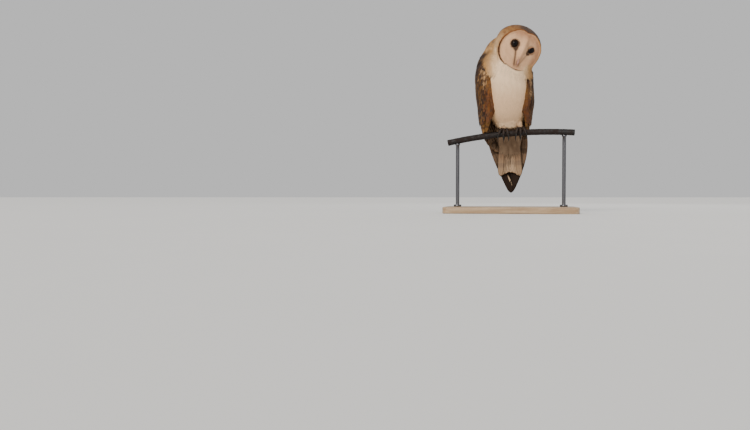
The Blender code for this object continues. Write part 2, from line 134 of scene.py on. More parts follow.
TURN_AXES = axes(BODY_TURN)
BODY_AXES = axes(BODY_TURN, 0.0, BODY_LEAN)
HEAD_AXES = axes(HEAD_TURN, HEAD_TILT, HEAD_NOD)
HEAD_CENTRE = np.array((0.0125, -0.0200, 0.1780))
DISC_CENTRE = HEAD_CENTRE + HEAD_AXES @ (0.0, -0.020, -0.003)
BROW_CENTRE = HEAD_CENTRE + HEAD_AXES @ (0.0, -0.002, 0.0140)
EGGS = (
    # trunk, breast, flanks
    Egg((-0.0115, 0.003, 0.088), 0.0530, 0.048, 0.043, 0.085, 0.072, BODY_AXES),
    Egg((-0.0145, -0.009, 0.121), 0.0505, 0.041, 0.040, 0.044, 0.055, BODY_AXES),
    Egg((-0.0040, 0.010, 0.060), 0.0440, 0.034, 0.036, 0.060, 0.039, TURN_AXES),
    # hind neck, throat
    Egg((-0.0130, 0.008, 0.163), 0.0465, 0.038, 0.038, 0.048, 0.053, axes(18.0)),
    Egg((0.0010, -0.012, 0.143), 0.0370, 0.030, 0.034, 0.030, 0.040, axes(18.0)),
    # head, crown and the plate of the facial disc
    Egg(tuple(HEAD_CENTRE), 0.0465, 0.035, 0.043, 0.0455, 0.044, HEAD_AXES),
    Egg(tuple(BROW_CENTRE), 0.0460, 0.028, 0.036, 0.0295, 0.030, HEAD_AXES),
    Egg(tuple(DISC_CENTRE), 0.0440, 0.014, 0.014, 0.040, 0.0415, HEAD_AXES),
)


# ---- forms shared by skin and coat


def smooth(low, high, value):
    """Smoothstep: 0 below low, 1 above high, and 3t^2 - 2t^3 between, at the share t."""
    share = np.clip((value - low) / (high - low), 0, 1)
    return share * share * (3 - 2 * share)


def unit(vectors):
    return vectors / np.maximum(np.linalg.norm(vectors, axis=-1, keepdims=True), 1e-12)


def dot(first, second):
    return (first * second).sum(axis=-1, keepdims=True)


def split(points):
    """The x, y and z of points."""
    return np.moveaxis(points, -1, 0)


def round_angles(count):
    """Angles that divide a full turn evenly."""
    return np.linspace(0, math.tau, count, endpoint=False)


def join(*parts):
    """Points from their coordinates, as arrays or as one number for all."""
    return np.stack(np.broadcast_arrays(*parts), axis=-1)


def egg_distance(points, egg):
    """Near enough the distance to an egg's surface: with local coordinates q and radii r, it is
    |q/r| (|q/r| - 1) / |q/r^2|."""
    local = (points - np.array(egg.centre)) @ egg.axes + 1e-7
    _, y, z = split(local)
    radii = join(egg.side, np.where(y < 0, egg.front, egg.back), np.where(z > 0, egg.up, egg.down))
    near = np.linalg.norm(local / radii, axis=-1)
    slope = np.linalg.norm(local / radii**2, axis=-1)
    return near * (near - 1) / slope


def head_local(points):
    """Points in the head's own frame: x to its left, y to the back, z up."""
    return (points - HEAD_CENTRE) @ HEAD_AXES




def eye_distance(x, z):
    """How far a place in the head's frame is from the nearer eye's axis."""
    return np.hypot(np.abs(x) - EYE_SIDE, z - EYE_Z)


def face_relief(points):
    """How far the face stands forward of the plain field: a ridge exp(-(x/width)^2) from brow to
    bill, less a dish exp(-(d/width)^2) about each eye."""
    x, y, z = split(head_local(points))
    front = np.clip((-0.012 - y) / 0.010, 0, 1)
    span = np.clip((0.030 - z) / 0.014, 0, 1) * np.clip((z + 0.030) / 0.012, 0, 1)
    ridge = 0.0052 * np.exp(-((x / 0.0062) ** 2)) * span
    dish = 0.0034 * np.exp(-(((np.abs(x) - EYE_SIDE) ** 2 + (z - EYE_Z) ** 2) / 0.013**2))
    return front * (ridge - dish)


def body_field(points):
    """Smooth least distance of all the eggs, -b log(sum exp(-d/b)), less the face's relief."""
    total = sum(np.exp(-egg_distance(points, egg) / BLEND) for egg in EGGS)
    return -BLEND * np.log(total) - face_relief(points)


def field_normals(points, step=0.0006):
    """Outward directions: the field's differences over a small step along each axis."""
    here = body_field(points)
    parts = [body_field(points + step * axis) - here for axis in np.eye(3)]
    return unit(np.stack(parts, axis=-1)), here


def walk_out(origins, directions, depth):
    """How far along each ray the field passes -depth, by halving between 0 and RAY_LENGTH."""
    low = np.zeros(directions.shape[:-1])
    high = np.full(directions.shape[:-1], RAY_LENGTH)
    for _ in range(RAY_HALVINGS):
        middle = (low + high) / 2
        inside = body_field(origins + directions * middle[..., None]) < -depth
        low = np.where(inside, middle, low)
        high = np.where(inside, high, middle)
    return low


def spine_frame(share):
    """Point, along, side and back directions of the spine's Bezier curve at a share of 0 to 1."""
    share = np.asarray(share)[:, None]
    rest = 1 - share
    weights = (rest**3, 3 * rest**2 * share, 3 * rest * share**2, share**3)
    point = sum(weight * control for weight, control in zip(weights, SPINE))
    steps = np.diff(SPINE, axis=0)
    along = unit(rest**2 * steps[0] + 2 * rest * share * steps[1] + share**2 * steps[2])
    turn = np.radians(BODY_TURN + (HEAD_TURN - BODY_TURN) * smooth(0.4, 0.9, share[:, 0]))
    back = join(-np.sin(turn), np.cos(turn), 0.0)
    back = unit(back - along * dot(back, along))
    return point, along, np.cross(back, along), back


def brow_cleft(x, z):
    return 0.10 * np.exp(-((x / 0.008) ** 2)) * smooth(0.010, 0.030, z)


def disc_radius(local):
    """1 on the facial disc's rim: an oval with a shallow cleft at the brow."""
    x, _, z = split(local)
    return np.hypot(x / DISC_HALF_WIDTH, (z - DISC_Z) / DISC_HALF_HEIGHT) + brow_cleft(x, z)


def disc_mask(local):
    return smooth(1.03, 0.98, disc_radius(local)) * smooth(0.004, -0.004, local[..., 1])


def ripple(points, size, seed):
    """Soft noise from -1 to 1: the mean of eight sine waves of about that wavelength, in directions
    drawn from the seed."""
    draw = np.random.default_rng(seed)
    waves = unit(draw.normal(size=(8, 3))) * 2 * math.pi / size * draw.uniform(0.7, 1.4, (8, 1))
    phase = draw.uniform(0, math.tau, 8)
    return np.clip(np.sin(points @ waves.T + phase).mean(axis=-1) * 2.2, -1, 1)


def mix(first, second, share):
    return first + (np.asarray(second) - first) * np.asarray(share)[..., None]


def body_side(points):
    """Angle in degrees round the body: -90 at the breast, 0 at the sides, 90 at the back."""
    turned = (points - wing_axis(points[..., 2])) @ TURN_AXES
    return np.degrees(np.arctan2(turned[..., 1], np.abs(turned[..., 0])))


def by_side(points, values):
    """The value for the side of the body that each point is on: -1 right, 1 left."""
    side = (points - wing_axis(points[..., 2])) @ TURN_AXES[:, 0]
    return np.where(side < 0, values[-1], values[1])


def neck_crease(points):
    """1 at the crease under the tilted head, where the coat's lie parts, and 0 away from it."""
    off = points - NECK_CREASE
    return np.exp(-dot(off, off)[..., 0] / CREASE_RADIUS**2)


def markings(points, palette):
    """Colour of the plumage at points of the body, from where they lie on it."""
    local = head_local(points)
    x, y, z = split(local)
    height = points[..., 2]
    coarse = ripple(points, 0.011, 3)
    fine = ripple(points, 0.0045, 4)
    # white breast, buff belly, pale again above the feet
    low = smooth(0.125, 0.060, height + 0.008 * coarse) * 0.75
    front = mix(palette.white, palette.buff, low)
    front = mix(front, palette.white, 0.8 * smooth(0.034, 0.018, height))
    # Buff flanks, stronger on the right side (x < 0): partly the flanks' own buff, partly painted
    # shadow of the wing on the belly.
    flank_and_shadow = smooth(-66, -44, body_side(points)) * smooth(0.035, 0.055, height)
    flank_and_shadow = flank_and_shadow * (0.4 + 0.5 * smooth(0.0, -0.03, points[..., 0]))
    front = mix(front, palette.buff, flank_and_shadow * smooth(0.125, 0.095, height))
    # upper parts: gold veiled with grey
    gold = mix(palette.gold, palette.pale_gold, 0.5 + 0.4 * coarse)
    veil = smooth(-0.25, 0.55, coarse + 0.5 * fine) * 0.72
    back = mix(gold, palette.grey, veil)
    side = body_side(points)
    tint = mix(front, mix(gold, palette.white, 0.40), smooth(-54, -34, side + 5 * coarse))
    tint = mix(tint, back, smooth(-32, -8, side + 4 * coarse))
    # neck sides and crown
    in_head = smooth(-0.062, -0.030, z - 0.35 * np.clip(y, -0.03, 0.03))
    nape = mix(mix(gold, palette.white, 0.28), back, smooth(0.000, 0.022, y))
    tint = mix(tint, nape, in_head * smooth(-0.024, -0.012, y + 0.012 * smooth(-0.035, 0.0, z)))
    edge = smooth(-0.0335, -0.0265, y + 0.002 * coarse) * smooth(-0.028, -0.008, x)
    edge = edge * smooth(0.018, -0.002, y)
    behind = smooth(-0.014, -0.002, y + 0.003 * coarse + 0.10 * x)
    edge = np.maximum(edge, behind * (0.66 + 0.30 * smooth(-0.3, 0.3, coarse)))
    crown = mix(mix(gold, palette.rufous, 0.45 + 0.3 * coarse), palette.grey,
                np.maximum(edge * (0.88 + 0.10 * fine), 0.45 * smooth(0.030, 0.042, z)))
    tint = mix(tint, 0.76 * crown, smooth(-0.004, 0.028, z + 0.006 * coarse))
    # facial disc, its rim, the dark round the eyes and the streak down to the bill
    disc = disc_mask(local)
    eye = eye_distance(x, z)
    # Past the eye on the head's left side (x > 0.020) the disc turns to blush: painted shade on the
    # cheek that turns from the light.
    face = mix(palette.face, palette.blush,
               np.clip(0.20 + 0.12 * coarse + 0.9 * smooth(0.010, 0.032, z)
                       + 0.8 * smooth(0.020, 0.036, x)
                       + 0.45 * np.exp(-((x / 0.012) ** 2)) * smooth(-0.002, -0.030, z), 0, 1))
    lore = np.abs(x) - (0.0040 + (z + 0.036) * 0.335)
    streak = np.exp(-((lore / 0.0020) ** 2)) * smooth(0.003, -0.006, z) * smooth(-0.041, -0.034, z)
    streak = streak * (1 - 0.55 * smooth(-0.003, 0.003, x))
    corner = np.hypot(np.abs(x) - EYE_SIDE + 0.0045, z - EYE_Z + 0.0075)
    ring = smooth(0.0108, 0.0090, eye) * (1 - 0.6 * (x > 0)) + 0.9 * smooth(0.0066, 0.0034, corner)
    face = mix(face, palette.lore, np.clip(0.85 * streak + ring, 0, 0.94))
    tint = mix(tint, face, disc)
    rim = np.exp(-(((disc_radius(local) - 1.000) / 0.024) ** 2)) * smooth(0.008, -0.002, y)
    rim = rim * (1 - 0.7 * smooth(0.010, 0.028, x))
    dark = mix(palette.rufous, palette.rim, smooth(0.020, -0.006, z))
    return mix(tint, dark, 0.95 * rim)


# ---- roots and lie of the coat


def body_rays(stations, angles):
    """Origins and directions of the rays that find the body's points, for paired arrays."""
    point, along, side, back = spine_frame(np.clip(stations - 1, 0, 1))
    rise = np.radians(90) * (np.clip(stations - 2, 0, 1) + np.clip(stations - 1, -1, 0))
    flat = np.cos(angles)[:, None] * side + np.sin(angles)[:, None] * back
    return point, np.cos(rise)[:, None] * flat + np.sin(rise)[:, None] * along


def body_points(stations, angles, depth):
    origins, directions = body_rays(stations, angles)
    return origins + directions * walk_out(origins, directions, depth)[:, None]


def coat_map():
    """A table of the body's points by station and angle, with the area of each cell."""
    stations = np.linspace(0.02, 2.98, 151)
    angles = np.linspace(0, math.tau, 217)
    grid = np.meshgrid(stations, angles, indexing="ij")
    points = body_points(grid[0].ravel(), grid[1].ravel(), 0.0).reshape(*grid[0].shape, 3)
    across = points[:-1, 1:] - points[:-1, :-1]
    up = points[1:, :-1] - points[:-1, :-1]
    area = np.linalg.norm(np.cross(across, up), axis=-1)
    middle = (points[:-1, :-1] + points[1:, 1:]) / 2
    return stations, angles, middle, area


def spread(count):
    """Pairs of shares that fill a square evenly: the R2 sequence."""
    index = np.arange(count) + 0.5
    return [(index * step) % 1 for step in R2_STEPS]


def scatter(chart, weight, count):
    """Stations and angles of that many roots, spread evenly over the weighted area: an even spread,
    laid through the shares of area that lie below each row and beside each cell."""
    stations, angles, _, area = chart
    mass = area * weight + 1e-15
    rows = mass.sum(axis=1)
    first, second = spread(count)
    below = np.concatenate([[0], np.cumsum(rows)]) / rows.sum()
    row = np.interp(first, below, np.arange(len(rows) + 1))
    whole = np.minimum(row.astype(int), len(rows) - 1)
    shares = (np.cumsum(mass, axis=1) / rows[:, None])[whole]
    cell = (shares < second[:, None]).sum(axis=1).clip(0, mass.shape[1] - 1)
    low = np.where(cell > 0, shares[np.arange(count), cell - 1], 0.0)
    part = (second - low) / np.maximum(shares[np.arange(count), cell] - low, 1e-12)
    return (
        np.interp(row, np.arange(len(stations)), stations),
        np.interp(cell + part, np.arange(len(angles)), angles),
    )


def lie(points, normals):
    """Direction in which the feathers lie: down the body, back over the head, and out from the eyes
    on the facial disc, laid flat on the surface."""
    local = head_local(points)
    x, _, z = split(local)
    in_head = smooth(-0.055, -0.030, z)[..., None]
    flow = (1 - in_head) * -BODY_AXES[:, 2] + in_head * (HEAD_AXES @ (0.0, 0.85, -0.52))
    side = np.where(x < 0, -1.0, 1.0)
    away = join(x - side * EYE_SIDE, 0.0, z - EYE_Z)
    ridge = np.exp(-((x / 0.007) ** 2))
    away[..., 2] -= 0.012 * ridge
    away[..., 0] *= 1 - 0.6 * ridge
    disc = disc_mask(local)[..., None]
    flow = (1 - disc) * flow + disc * (unit(away) @ HEAD_AXES.T)
    return unit(flow - normals * dot(flow, normals))


# ---- meshes


def add_object(name, data):
    obj = bpy.data.objects.new(name, data)
    bpy.context.scene.collection.objects.link(obj)
    return obj


def new_object(mesh, material, nodes=()):
    """A piece of the owl: it rides on the one body, takes this material and hides the nodes that it
    replaces."""
    obj = add_object(mesh.name, mesh)
    mesh.materials.append(material)
    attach(obj, "root")
    if nodes:
        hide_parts(*nodes)
    return obj


def fill_mesh(name, points, loops, totals, uv=None, attributes=None, normals=None):
    """A mesh from arrays of points, of the corners of its faces and of each face's corner count,
    lifted to the perch's level, with its own shading normals where they are given."""
    mesh = bpy.data.meshes.new(name)
    mesh.vertices.add(len(points))
    mesh.vertices.foreach_set("co", (points + LIFT).astype(np.float32).ravel())
    mesh.loops.add(len(loops))
    mesh.loops.foreach_set("vertex_index", loops.astype(np.int32))
    mesh.polygons.add(len(totals))
    starts = np.concatenate([[0], np.cumsum(totals)[:-1]])
    mesh.polygons.foreach_set("loop_start", starts.astype(np.int32))
    mesh.polygons.foreach_set("loop_total", totals.astype(np.int32))
    mesh.polygons.foreach_set("use_smooth", np.ones(len(totals), bool))
    mesh.update(calc_edges=True)
    if uv is not None:
        layer = mesh.uv_layers.new(name="OFBake")
        layer.uv.foreach_set("vector", uv[loops].astype(np.float32).ravel())
    for key, values in (attributes or {}).items():
        colour = np.ones((len(points), 4), np.float32)
        colour[:, : values.shape[-1]] = values
        mesh.attributes.new(key, "FLOAT_COLOR", "POINT").data.foreach_set("color", colour.ravel())
    if normals is not None:
        mesh.normals_split_custom_set_from_vertices(normals.astype(np.float32))
    return mesh


def grid_faces(rows, columns, wrap=True):
    """Corners of the quads of a grid of rows by columns, the last column joined to the first."""
    row = np.arange(rows - 1)[:, None]
    column = np.arange(columns if wrap else columns - 1)[None]
    following = (column + 1) % columns
    low, high = row * columns, (row + 1) * columns
    return join(low + column, low + following, high + following, high + column)


def loft_shell(rings):
    """A closed shell through rings counted anticlockwise about the way they climb. Each end ring is
    drawn to a pole at its middle."""
    rows, columns = rings.shape[:2]
    points = np.concatenate([rings.reshape(-1, 3), rings[:1].mean(axis=1), rings[-1:].mean(axis=1)])
    quads = grid_faces(rows, columns).reshape(-1, 4)
    near = np.arange(columns)
    far = (near + 1) % columns
    last = (rows - 1) * columns
    bottom = join(rows * columns, far, near)
    top = join(rows * columns + 1, last + near, last + far)
    loops = np.concatenate([quads.ravel(), bottom.ravel(), top.ravel()])
    totals = np.concatenate([np.full(len(quads), 4), np.full(2 * columns, 3)])
    return points, loops, totals


def merge(shells):
    """Several shells as the arrays of one mesh."""
    points, loops, totals = zip(*shells)
    starts = np.cumsum([0, *map(len, points[:-1])])
    loops = [loop + start for loop, start in zip(loops, starts)]
    return np.concatenate(points), np.concatenate(loops), np.concatenate(totals)


def tube(path, radii, sides, flat=1.0, swell=None):
    """A closed tube about a path: point(s) + r(s) (cos t u + flat sin t v), where v is square to
    the path and to the x axis, and u square to both."""
    along = unit(np.gradient(path, axis=0))
    second = unit(np.cross(along, (1.0, 0.0, 0.0)))
    first = np.cross(second, along)
    angle = round_angles(sides)
    radius = np.broadcast_to(np.asarray(radii)[:, None], (len(path), sides))
    if swell is not None:
        radius = radius * swell(np.linspace(0, 1, len(path))[:, None], angle[None])
    ring = np.cos(angle)[None, :, None] * first[:, None]
    ring = ring + flat * np.sin(angle)[None, :, None] * second[:, None]
    return loft_shell(path[:, None] + radius[..., None] * ring)


def stack_rows(rows, place):
    """What place gives for each of a feather's rows, stacked along the feather."""
    return [np.stack(parts, axis=1) for parts in zip(*map(place, rows))]


def vanes(name, form, centre, normal, half, thick, cup, tint, uv_root, chance, speck=0.0,
          across=None, width=3, patch=(0.003, 0.003), soft=True, under=None):
    """Feathers as closed thin vanes. Row s of a feather is the curve
    centre(s) + across a half(s) + normal (+-thick (1 - a^2) - cup half a^2) for a from -1 to 1,
    above and then below, and its root and tip are drawn to a point. Unless it is given, across is
    square to the feather's length and to the normal. A soft feather is shaded as the coat lies. The
    lower face takes the tint under, where one is given."""
    count, rows = centre.shape[:2]
    if across is None:
        across = unit(np.cross(unit(np.gradient(centre, axis=1)), normal))
    half = np.broadcast_to(half, count)[:, None] * form.outline
    thick = np.broadcast_to(thick, half.shape)
    span = np.linspace(-1, 1, width)
    a = np.concatenate([span, span[::-1][1:-1]])
    faced = np.concatenate([np.ones(width), -np.ones(width - 2)])
    ring = len(a)
    inner = slice(1, rows - 1)
    reach = half[:, inner, None] * a
    offset = thick[:, inner, None] * (faced * (1 - a * a)) - cup * half[:, inner, None] * a * a
    out = normal[:, inner, None]
    body = centre[:, inner, None] + across[:, inner, None] * reach[..., None]
    body = body + out * offset[..., None]
    shading = out * faced[:, None] + across[:, inner, None] * a[:, None] * SIDE_SHADING

    def with_ends(values, middle):
        ends = values[:, :1], middle.reshape(count, -1, 3), values[:, -1:]
        return np.concatenate(ends, axis=1)

    points = with_ends(centre, body)
    each = points.shape[1]
    vertex_along = np.concatenate([[0], np.repeat(form.rows[inner], ring), [1]])
    vertex_across = np.concatenate([[0.5], np.tile(a * 0.5 + 0.5, rows - 2), [0.5]])
    near = np.arange(ring)
    far = (near + 1) % ring
    last = 1 + (rows - 3) * ring
    root = join(0, 1 + far, 1 + near)
    tip = join(each - 1, last + near, last + far)
    quads = 1 + grid_faces(rows - 2, ring).reshape(-1, 4)
    template = np.concatenate([root.ravel(), quads.ravel(), tip.ravel()])
    totals = np.concatenate([np.full(ring, 3), np.full(len(quads), 4), np.full(ring, 3)])
    loops = (template[None] + each * np.arange(count)[:, None]).ravel()
    corner = join(vertex_across - 0.5, vertex_along - 0.5) * patch
    uv = (uv_root[:, None] + corner[None]).reshape(-1, 2)
    if tint.ndim == 2:
        tint = np.broadcast_to(tint[:, None], (count, rows, 3))
    shade = with_ends(tint, np.repeat(tint[:, inner], ring, axis=1))
    if under is not None:
        lower = np.flatnonzero(np.tile(faced < 0, rows - 2))
        shade[:, 1 + lower] = np.repeat(under[:, inner], ring, axis=1)[:, lower]
    speck = np.broadcast_to(speck, count)[:, None]
    vane = join(vertex_along, vertex_across, chance[:, None], speck).reshape(-1, 4)
    attributes = {"tint": shade.reshape(-1, 3), "vane": vane}
    normals = unit(with_ends(normal, shading)).reshape(-1, 3) if soft else None
    return fill_mesh(name, points.reshape(-1, 3), loops, np.tile(totals, count), uv, attributes,
                     normals)


def speckled(tint, chance, strength):
    """The tint made lighter or darker from feather to feather by up to half that strength."""
    return tint * (1 + strength * (chance[:, None] - 0.5))


# Shares of a feather's length at which it is drawn, and its outline there
Form = namedtuple("Form", "rows outline")
LONG = Form(
    np.array((0.0, 0.16, 0.38, 0.62, 0.82, 0.95, 1.0)),
    np.array((0.0, 0.55, 0.88, 1.0, 0.90, 0.52, 0.0)),
)
SHORT = Form(np.array((0.0, 0.35, 0.78, 1.0)), np.array((0.0, 0.85, 0.75, 0.0)))
MIDDLE = Form(np.array((0.0, 0.25, 0.60, 0.88, 1.0)), np.array((0.0, 0.75, 1.0, 0.62, 0.0)))
FLIGHT = Form(
    np.concatenate([np.linspace(0, 0.9, 16), [0.945, 0.975, 1.0]]),
    np.concatenate([[0.0], np.linspace(0.55, 1.0, 6), np.full(7, 1.0), [0.97, 0.92],
                    [0.76, 0.50, 0.0]]),
)


def body_coat(name, chart, weight, count, size, palette, seed, form, depth=0.003, keep=None,
              ruffle=0.0006, stray=0.10, sink=0.0003, thick=0.00016, cup=0.16, uneven=0.10,
              specked=0.0, over=lambda points: 0 * points[:, 0], paint=markings):
    """Feathers over the body. Each starts under the coat and steps along its lie, and each step is
    put back at the height over the body that its place along the feather has."""
    draw = np.random.default_rng(seed)
    stations, angles = scatter(chart, weight, count)
    point = body_points(stations, angles, depth)
    if keep is not None:
        kept = keep(point)
        stations, angles, point = stations[kept], angles[kept], point[kept]
    count = len(point)
    length, half = size(point)
    length = length * draw.uniform(0.85, 1.18, count)
    half = half * draw.uniform(0.85, 1.15, count)
    chance = draw.random(count)
    lift = ruffle * draw.normal(size=count).clip(-1, 2)
    normal = field_normals(point)[0]
    point = point + normal * over(point)[:, None]
    stray = draw.normal(size=count) * stray
    centres, ways, normals = [point], [], [normal]
    for share, step in zip(form.rows[1:], np.diff(form.rows)):
        way = lie(point, normal)
        way = unit(way + np.cross(normal, way) * stray[:, None])
        ways.append(way)
        point = point + way * (length * step)[:, None]
        normal, here = field_normals(point)
        rest = -depth * (1 - share) ** 1.4 + lift * share**1.5 - sink + over(point)
        point = point + normal * (rest - here)[:, None]
        centres.append(point)
        normals.append(normal)
    ways.append(ways[-1])
    centre, way, normal = (np.stack(rows, axis=1) for rows in (centres, ways, normals))
    bend = neck_crease(centre[:, 0])[:, None]
    normal = unit(normal + (1 + 6 * bend[..., None]) * normal.mean(axis=1, keepdims=True))
    tint = paint(centre[:, 0] + (centre[:, -1] - centre[:, 0]) * 0.6, palette)
    tint = tint * (1 + uneven * (chance[:, None] - 0.5) * 2)
    speck = (draw.random(count) < specked).astype(float)
    uv = join(angles / math.tau, stations / 3)
    return vanes(name, form, centre, normal, half, thick * (1 + 4 * bend), cup, tint, uv, chance,
                 speck, across=unit(np.cross(way, normal)))


# ---- wings and flight feathers


def wing_axis(height):
    """Middle of the body at a height, which the wings' angles are measured about."""
    share = np.clip((np.asarray(height) - 0.01) / 0.15, 0, 1)
    return join(-0.010 - 0.003 * share, 0.013 - 0.016 * share, height)


def folded_outline(height, angle):
    """Distance from the wings' axis to their outer face low down, where they stand off the body."""
    width = 0.0620 - 0.75 * np.clip(0.095 - height, 0, 1) ** 2 - 0.9 * np.clip(height - 0.120, 0, 1)
    depth = 0.0500 - 0.55 * np.clip(0.095 - height, 0, 1) ** 2 - 0.9 * np.clip(height - 0.095, 0, 1)
    return 1 / np.hypot(np.cos(angle) / width, np.sin(angle) / depth)


def wing_rear(rise):
    """Angle of a wing's rear edge, which runs up and forward to the shoulder."""
    return WING_REAR_ANGLE - 76 * np.clip((rise - 0.42) / 0.58, 0, 1) ** 2


def wing_points(side, rise, share, depth):
    """Points of a folded wing, depth under its outer face, for paired arrays: rise from its lower
    edge to the shoulder, and share from its front edge round to the back."""
    height = WING_BOTTOM + (WING_TOP[side] - WING_BOTTOM) * rise
    shoulder = np.sqrt(np.clip(1 - np.clip((rise - 0.78) / 0.23, 0, 1) ** 2, 0, 1))
    low = np.clip(1 - (height - WING_BOTTOM) / 0.036, 0, 1)
    front = WING_FRONT_ANGLE * (0.08 + 0.92 * shoulder) + 22 * low
    angle = np.radians(front + (wing_rear(rise) - front) * share)
    flat = join(side * np.cos(angle), np.sin(angle), 0.0)
    directions = flat @ TURN_AXES.T
    origins = wing_axis(height)
    slim = 1 - WING_SLIM[side] * np.clip((rise - 0.45) / 0.45, 0, 1)
    swell = WING_THICKNESS * slim * (0.18 + 0.82 * shoulder)
    edge = 0.12 + 0.88 * np.sin(math.pi * np.clip(share, 0.0, 1.0)) ** 0.55
    clear = WING_CLEARANCE * (1 + np.clip((rise - 0.7) / 0.3, 0, 1))
    outer = walk_out(origins, directions, -(swell * edge + clear))
    outer = np.maximum(outer, folded_outline(height, angle) - WING_THICKNESS * (1 - edge))
    outer = outer - 0.14 * np.clip(WING_BOTTOM - height, 0, 1)
    return origins + directions * (outer - depth)[:, None]


def wing_frame(side, rise, share, depth):
    """Wing points with their outward normals, from small steps up and across."""
    here = wing_points(side, rise, share, depth)
    up = wing_points(side, rise + 0.01, share, depth) - here
    over = wing_points(side, rise, share + 0.01, depth) - here
    return here, unit(side * np.cross(over, up))


def wing_height(side):
    return WING_TOP[side] - WING_BOTTOM


def wing_rows(side, rows, seed):
    """For each feather of the coverts, the rise and share of its root, its length and half-width. A
    row is (rise, feathers, length, half-width), and its feathers are staggered."""
    draw = np.random.default_rng(seed)
    parts = []
    for number, (rise, count, length, half) in enumerate(rows):
        share = (np.arange(count) + 0.5 * (number % 2) + draw.uniform(-0.16, 0.16, count)) / count
        jitter = draw.uniform(-0.25, 0.25, count) * length / wing_height(side)
        parts.append(join(rise + 0.3 * jitter, share, length, half))
    return np.concatenate(parts).T


def wing_markings(points, rise, share, palette):
    """Colour of a wing from where it lies: grey-brown shoulder, long tawny, gold and dark streaks
    below, and a pale line and a rusty one beside its front edge."""
    fine = ripple(points, 0.006, 12)
    flat = join(share * 0.090, rise * 0.028, 0.0)
    streak = ripple(flat, 0.011, 11) + 0.25 * fine
    gold = mix(palette.tawny, palette.gold, 0.30 * smooth(-0.2, 0.8, streak))
    shoulder = 0.95 * smooth(0.60, 0.92, rise)
    dark = mix(palette.umber, palette.tawny, 0.35 + 0.3 * fine)
    dark = mix(dark, palette.grey, 0.30 * shoulder)
    rear = 0.35 * smooth(0.25, 0.6, share)
    tint = mix(gold, dark, smooth(-0.15, 0.40, -streak + shoulder + rear))
    rusty = np.exp(-(((share - 0.045) / 0.045) ** 2)) * (0.35 + 0.65 * smooth(0.66, 0.50, rise))
    tint = mix(tint, palette.rufous, 0.60 * rusty)
    tint = mix(tint, palette.pale_gold, 0.25 * smooth(0.10, 0.02, rise))
    pale = np.exp(-(((share - 0.090) / 0.026) ** 2)) * smooth(0.55, 0.66, rise)
    return mix(tint, palette.pale_gold, 0.95 * pale)


def wing_coverts(name, side, palette, seed):
    """The wing's small feathers, which lie down it and sweep a little to the back. Each step of a
    feather is put at its place's height over the wing's face."""
    scale = wing_height(side) / 0.154
    rows = [(1.0 - 0.020 * n, 26 + n, 0.0150 + 0.0003 * n, 0.0022) for n in range(17)]
    rows += [(0.67 - 0.028 * n, 32, 0.0230 + 0.0006 * n, 0.0029) for n in range(9)]
    rows += [(0.44 - 0.040 * n, 27, 0.0340, 0.0036) for n in range(6)]
    rise, share, length, half = wing_rows(side, rows, seed)
    draw = np.random.default_rng(seed + 1)
    count = len(rise)
    length = length * draw.uniform(0.9, 1.15, count) * scale
    chance = draw.random(count)
    stray = draw.normal(size=count) * 0.05
    depth = np.minimum(0.0030, 0.14 * length)

    def place(part):
        reach = rise + 0.04 - part * length / wing_height(side)
        over = np.clip(share + part * (0.02 + stray * length / 0.03), 0.0, 1.0)
        past = np.maximum(reach - COVERT_TOP, 0)
        reach = np.minimum(reach, COVERT_TOP) + COVERT_SPACE * (1 - np.exp(-past / COVERT_SPACE))
        return wing_frame(side, reach, over, depth * (1 - part) ** 1.3 + 0.0004 * chance)

    centre, normal = stack_rows(LONG.rows, place)
    normal = unit(normal + 2 * normal.mean(axis=1, keepdims=True))
    tint = wing_markings(centre[:, -2], rise, share, palette)
    uv = join(share * 0.9 + 0.05, rise * 0.9 + 0.05)
    speck = (draw.random(count) < 0.16).astype(float)
    return vanes(name, LONG, centre, normal, half, 0.00018, 0.14, speckled(tint, chance, 0.22), uv,
                 chance, speck)


def rear_end(height):
    """Half-width, front edge, rear face and middle of the folded flight feathers at a height."""
    fall = np.clip((height - PRIMARY_TIP) / (WING_BOTTOM - PRIMARY_TIP), 0, 1.6)
    half_width = 0.0030 + 0.0455 * np.sin(np.minimum(fall, 1) * math.pi / 2)
    front = 0.0565 - 0.0345 * fall**1.3
    rear = 0.0590 - 0.0090 * fall**1.6
    middle = 0.0020 - 0.0105 * fall**2.2
    return fall, half_width, front, rear, middle


def primary_points(side, height, turn, depth):
    """Points of the bundle of long flight feathers: turn is 0 at its outer edge and 90 degrees at
    the middle of the back."""
    fall, half_width, front, rear, middle = rear_end(height)
    angle = np.radians(turn)
    slant = math.radians(BODY_TURN) * np.minimum(fall, 1) ** 2
    half_width = half_width - depth
    x = middle + side * half_width * np.cos(angle)
    x = x - (rear - front) * np.sin(angle) * np.sin(slant)
    y = front + (rear - depth - front) * np.sin(angle)
    y = y + side * half_width * np.cos(angle) * np.sin(slant)
    return join(x, y, height)


def flight_patches(count):
    """Middle of each feather's cell in a row of tall cells, and the size of its patch."""
    place = (np.arange(count) + 0.5) / count
    return join(place, 0.5), (0.86 / count, 0.94)


def secondaries(name, side, palette, seed):
    """Eight long feathers under the coverts, from mid wing to its lower edge, each with its outer
    edge over the next one."""
    count = 8
    draw = np.random.default_rng(seed)
    order = np.arange(count)
    share = 0.10 + 0.86 * order / (count - 1)
    top, bottom = 0.44, -0.06 - 0.26 * smooth(0.10, 0.90, share)

    def place(part):
        depth = 0.0022 + 0.00035 * (count - order) - 0.0014 * part
        return wing_frame(side, top + (bottom - top) * part, share, depth)

    centre, normal = stack_rows(FLIGHT.rows, place)
    chance = draw.random(count)
    tint = mix(palette.tawny, palette.gold, 0.40 + 0.3 * ripple(centre, 0.02, seed))
    tint = mix(tint, palette.umber, 0.20 * smooth(0.45, 0.10, share)[:, None])
    under = mix(palette.tail, palette.umber, np.full(centre.shape[:2], 0.5))
    uv, patch = flight_patches(count)
    return vanes(name, FLIGHT, centre, normal, 0.0108, 0.0004, 0.16, tint, uv, chance, width=7,
                 patch=patch, soft=False, under=under)


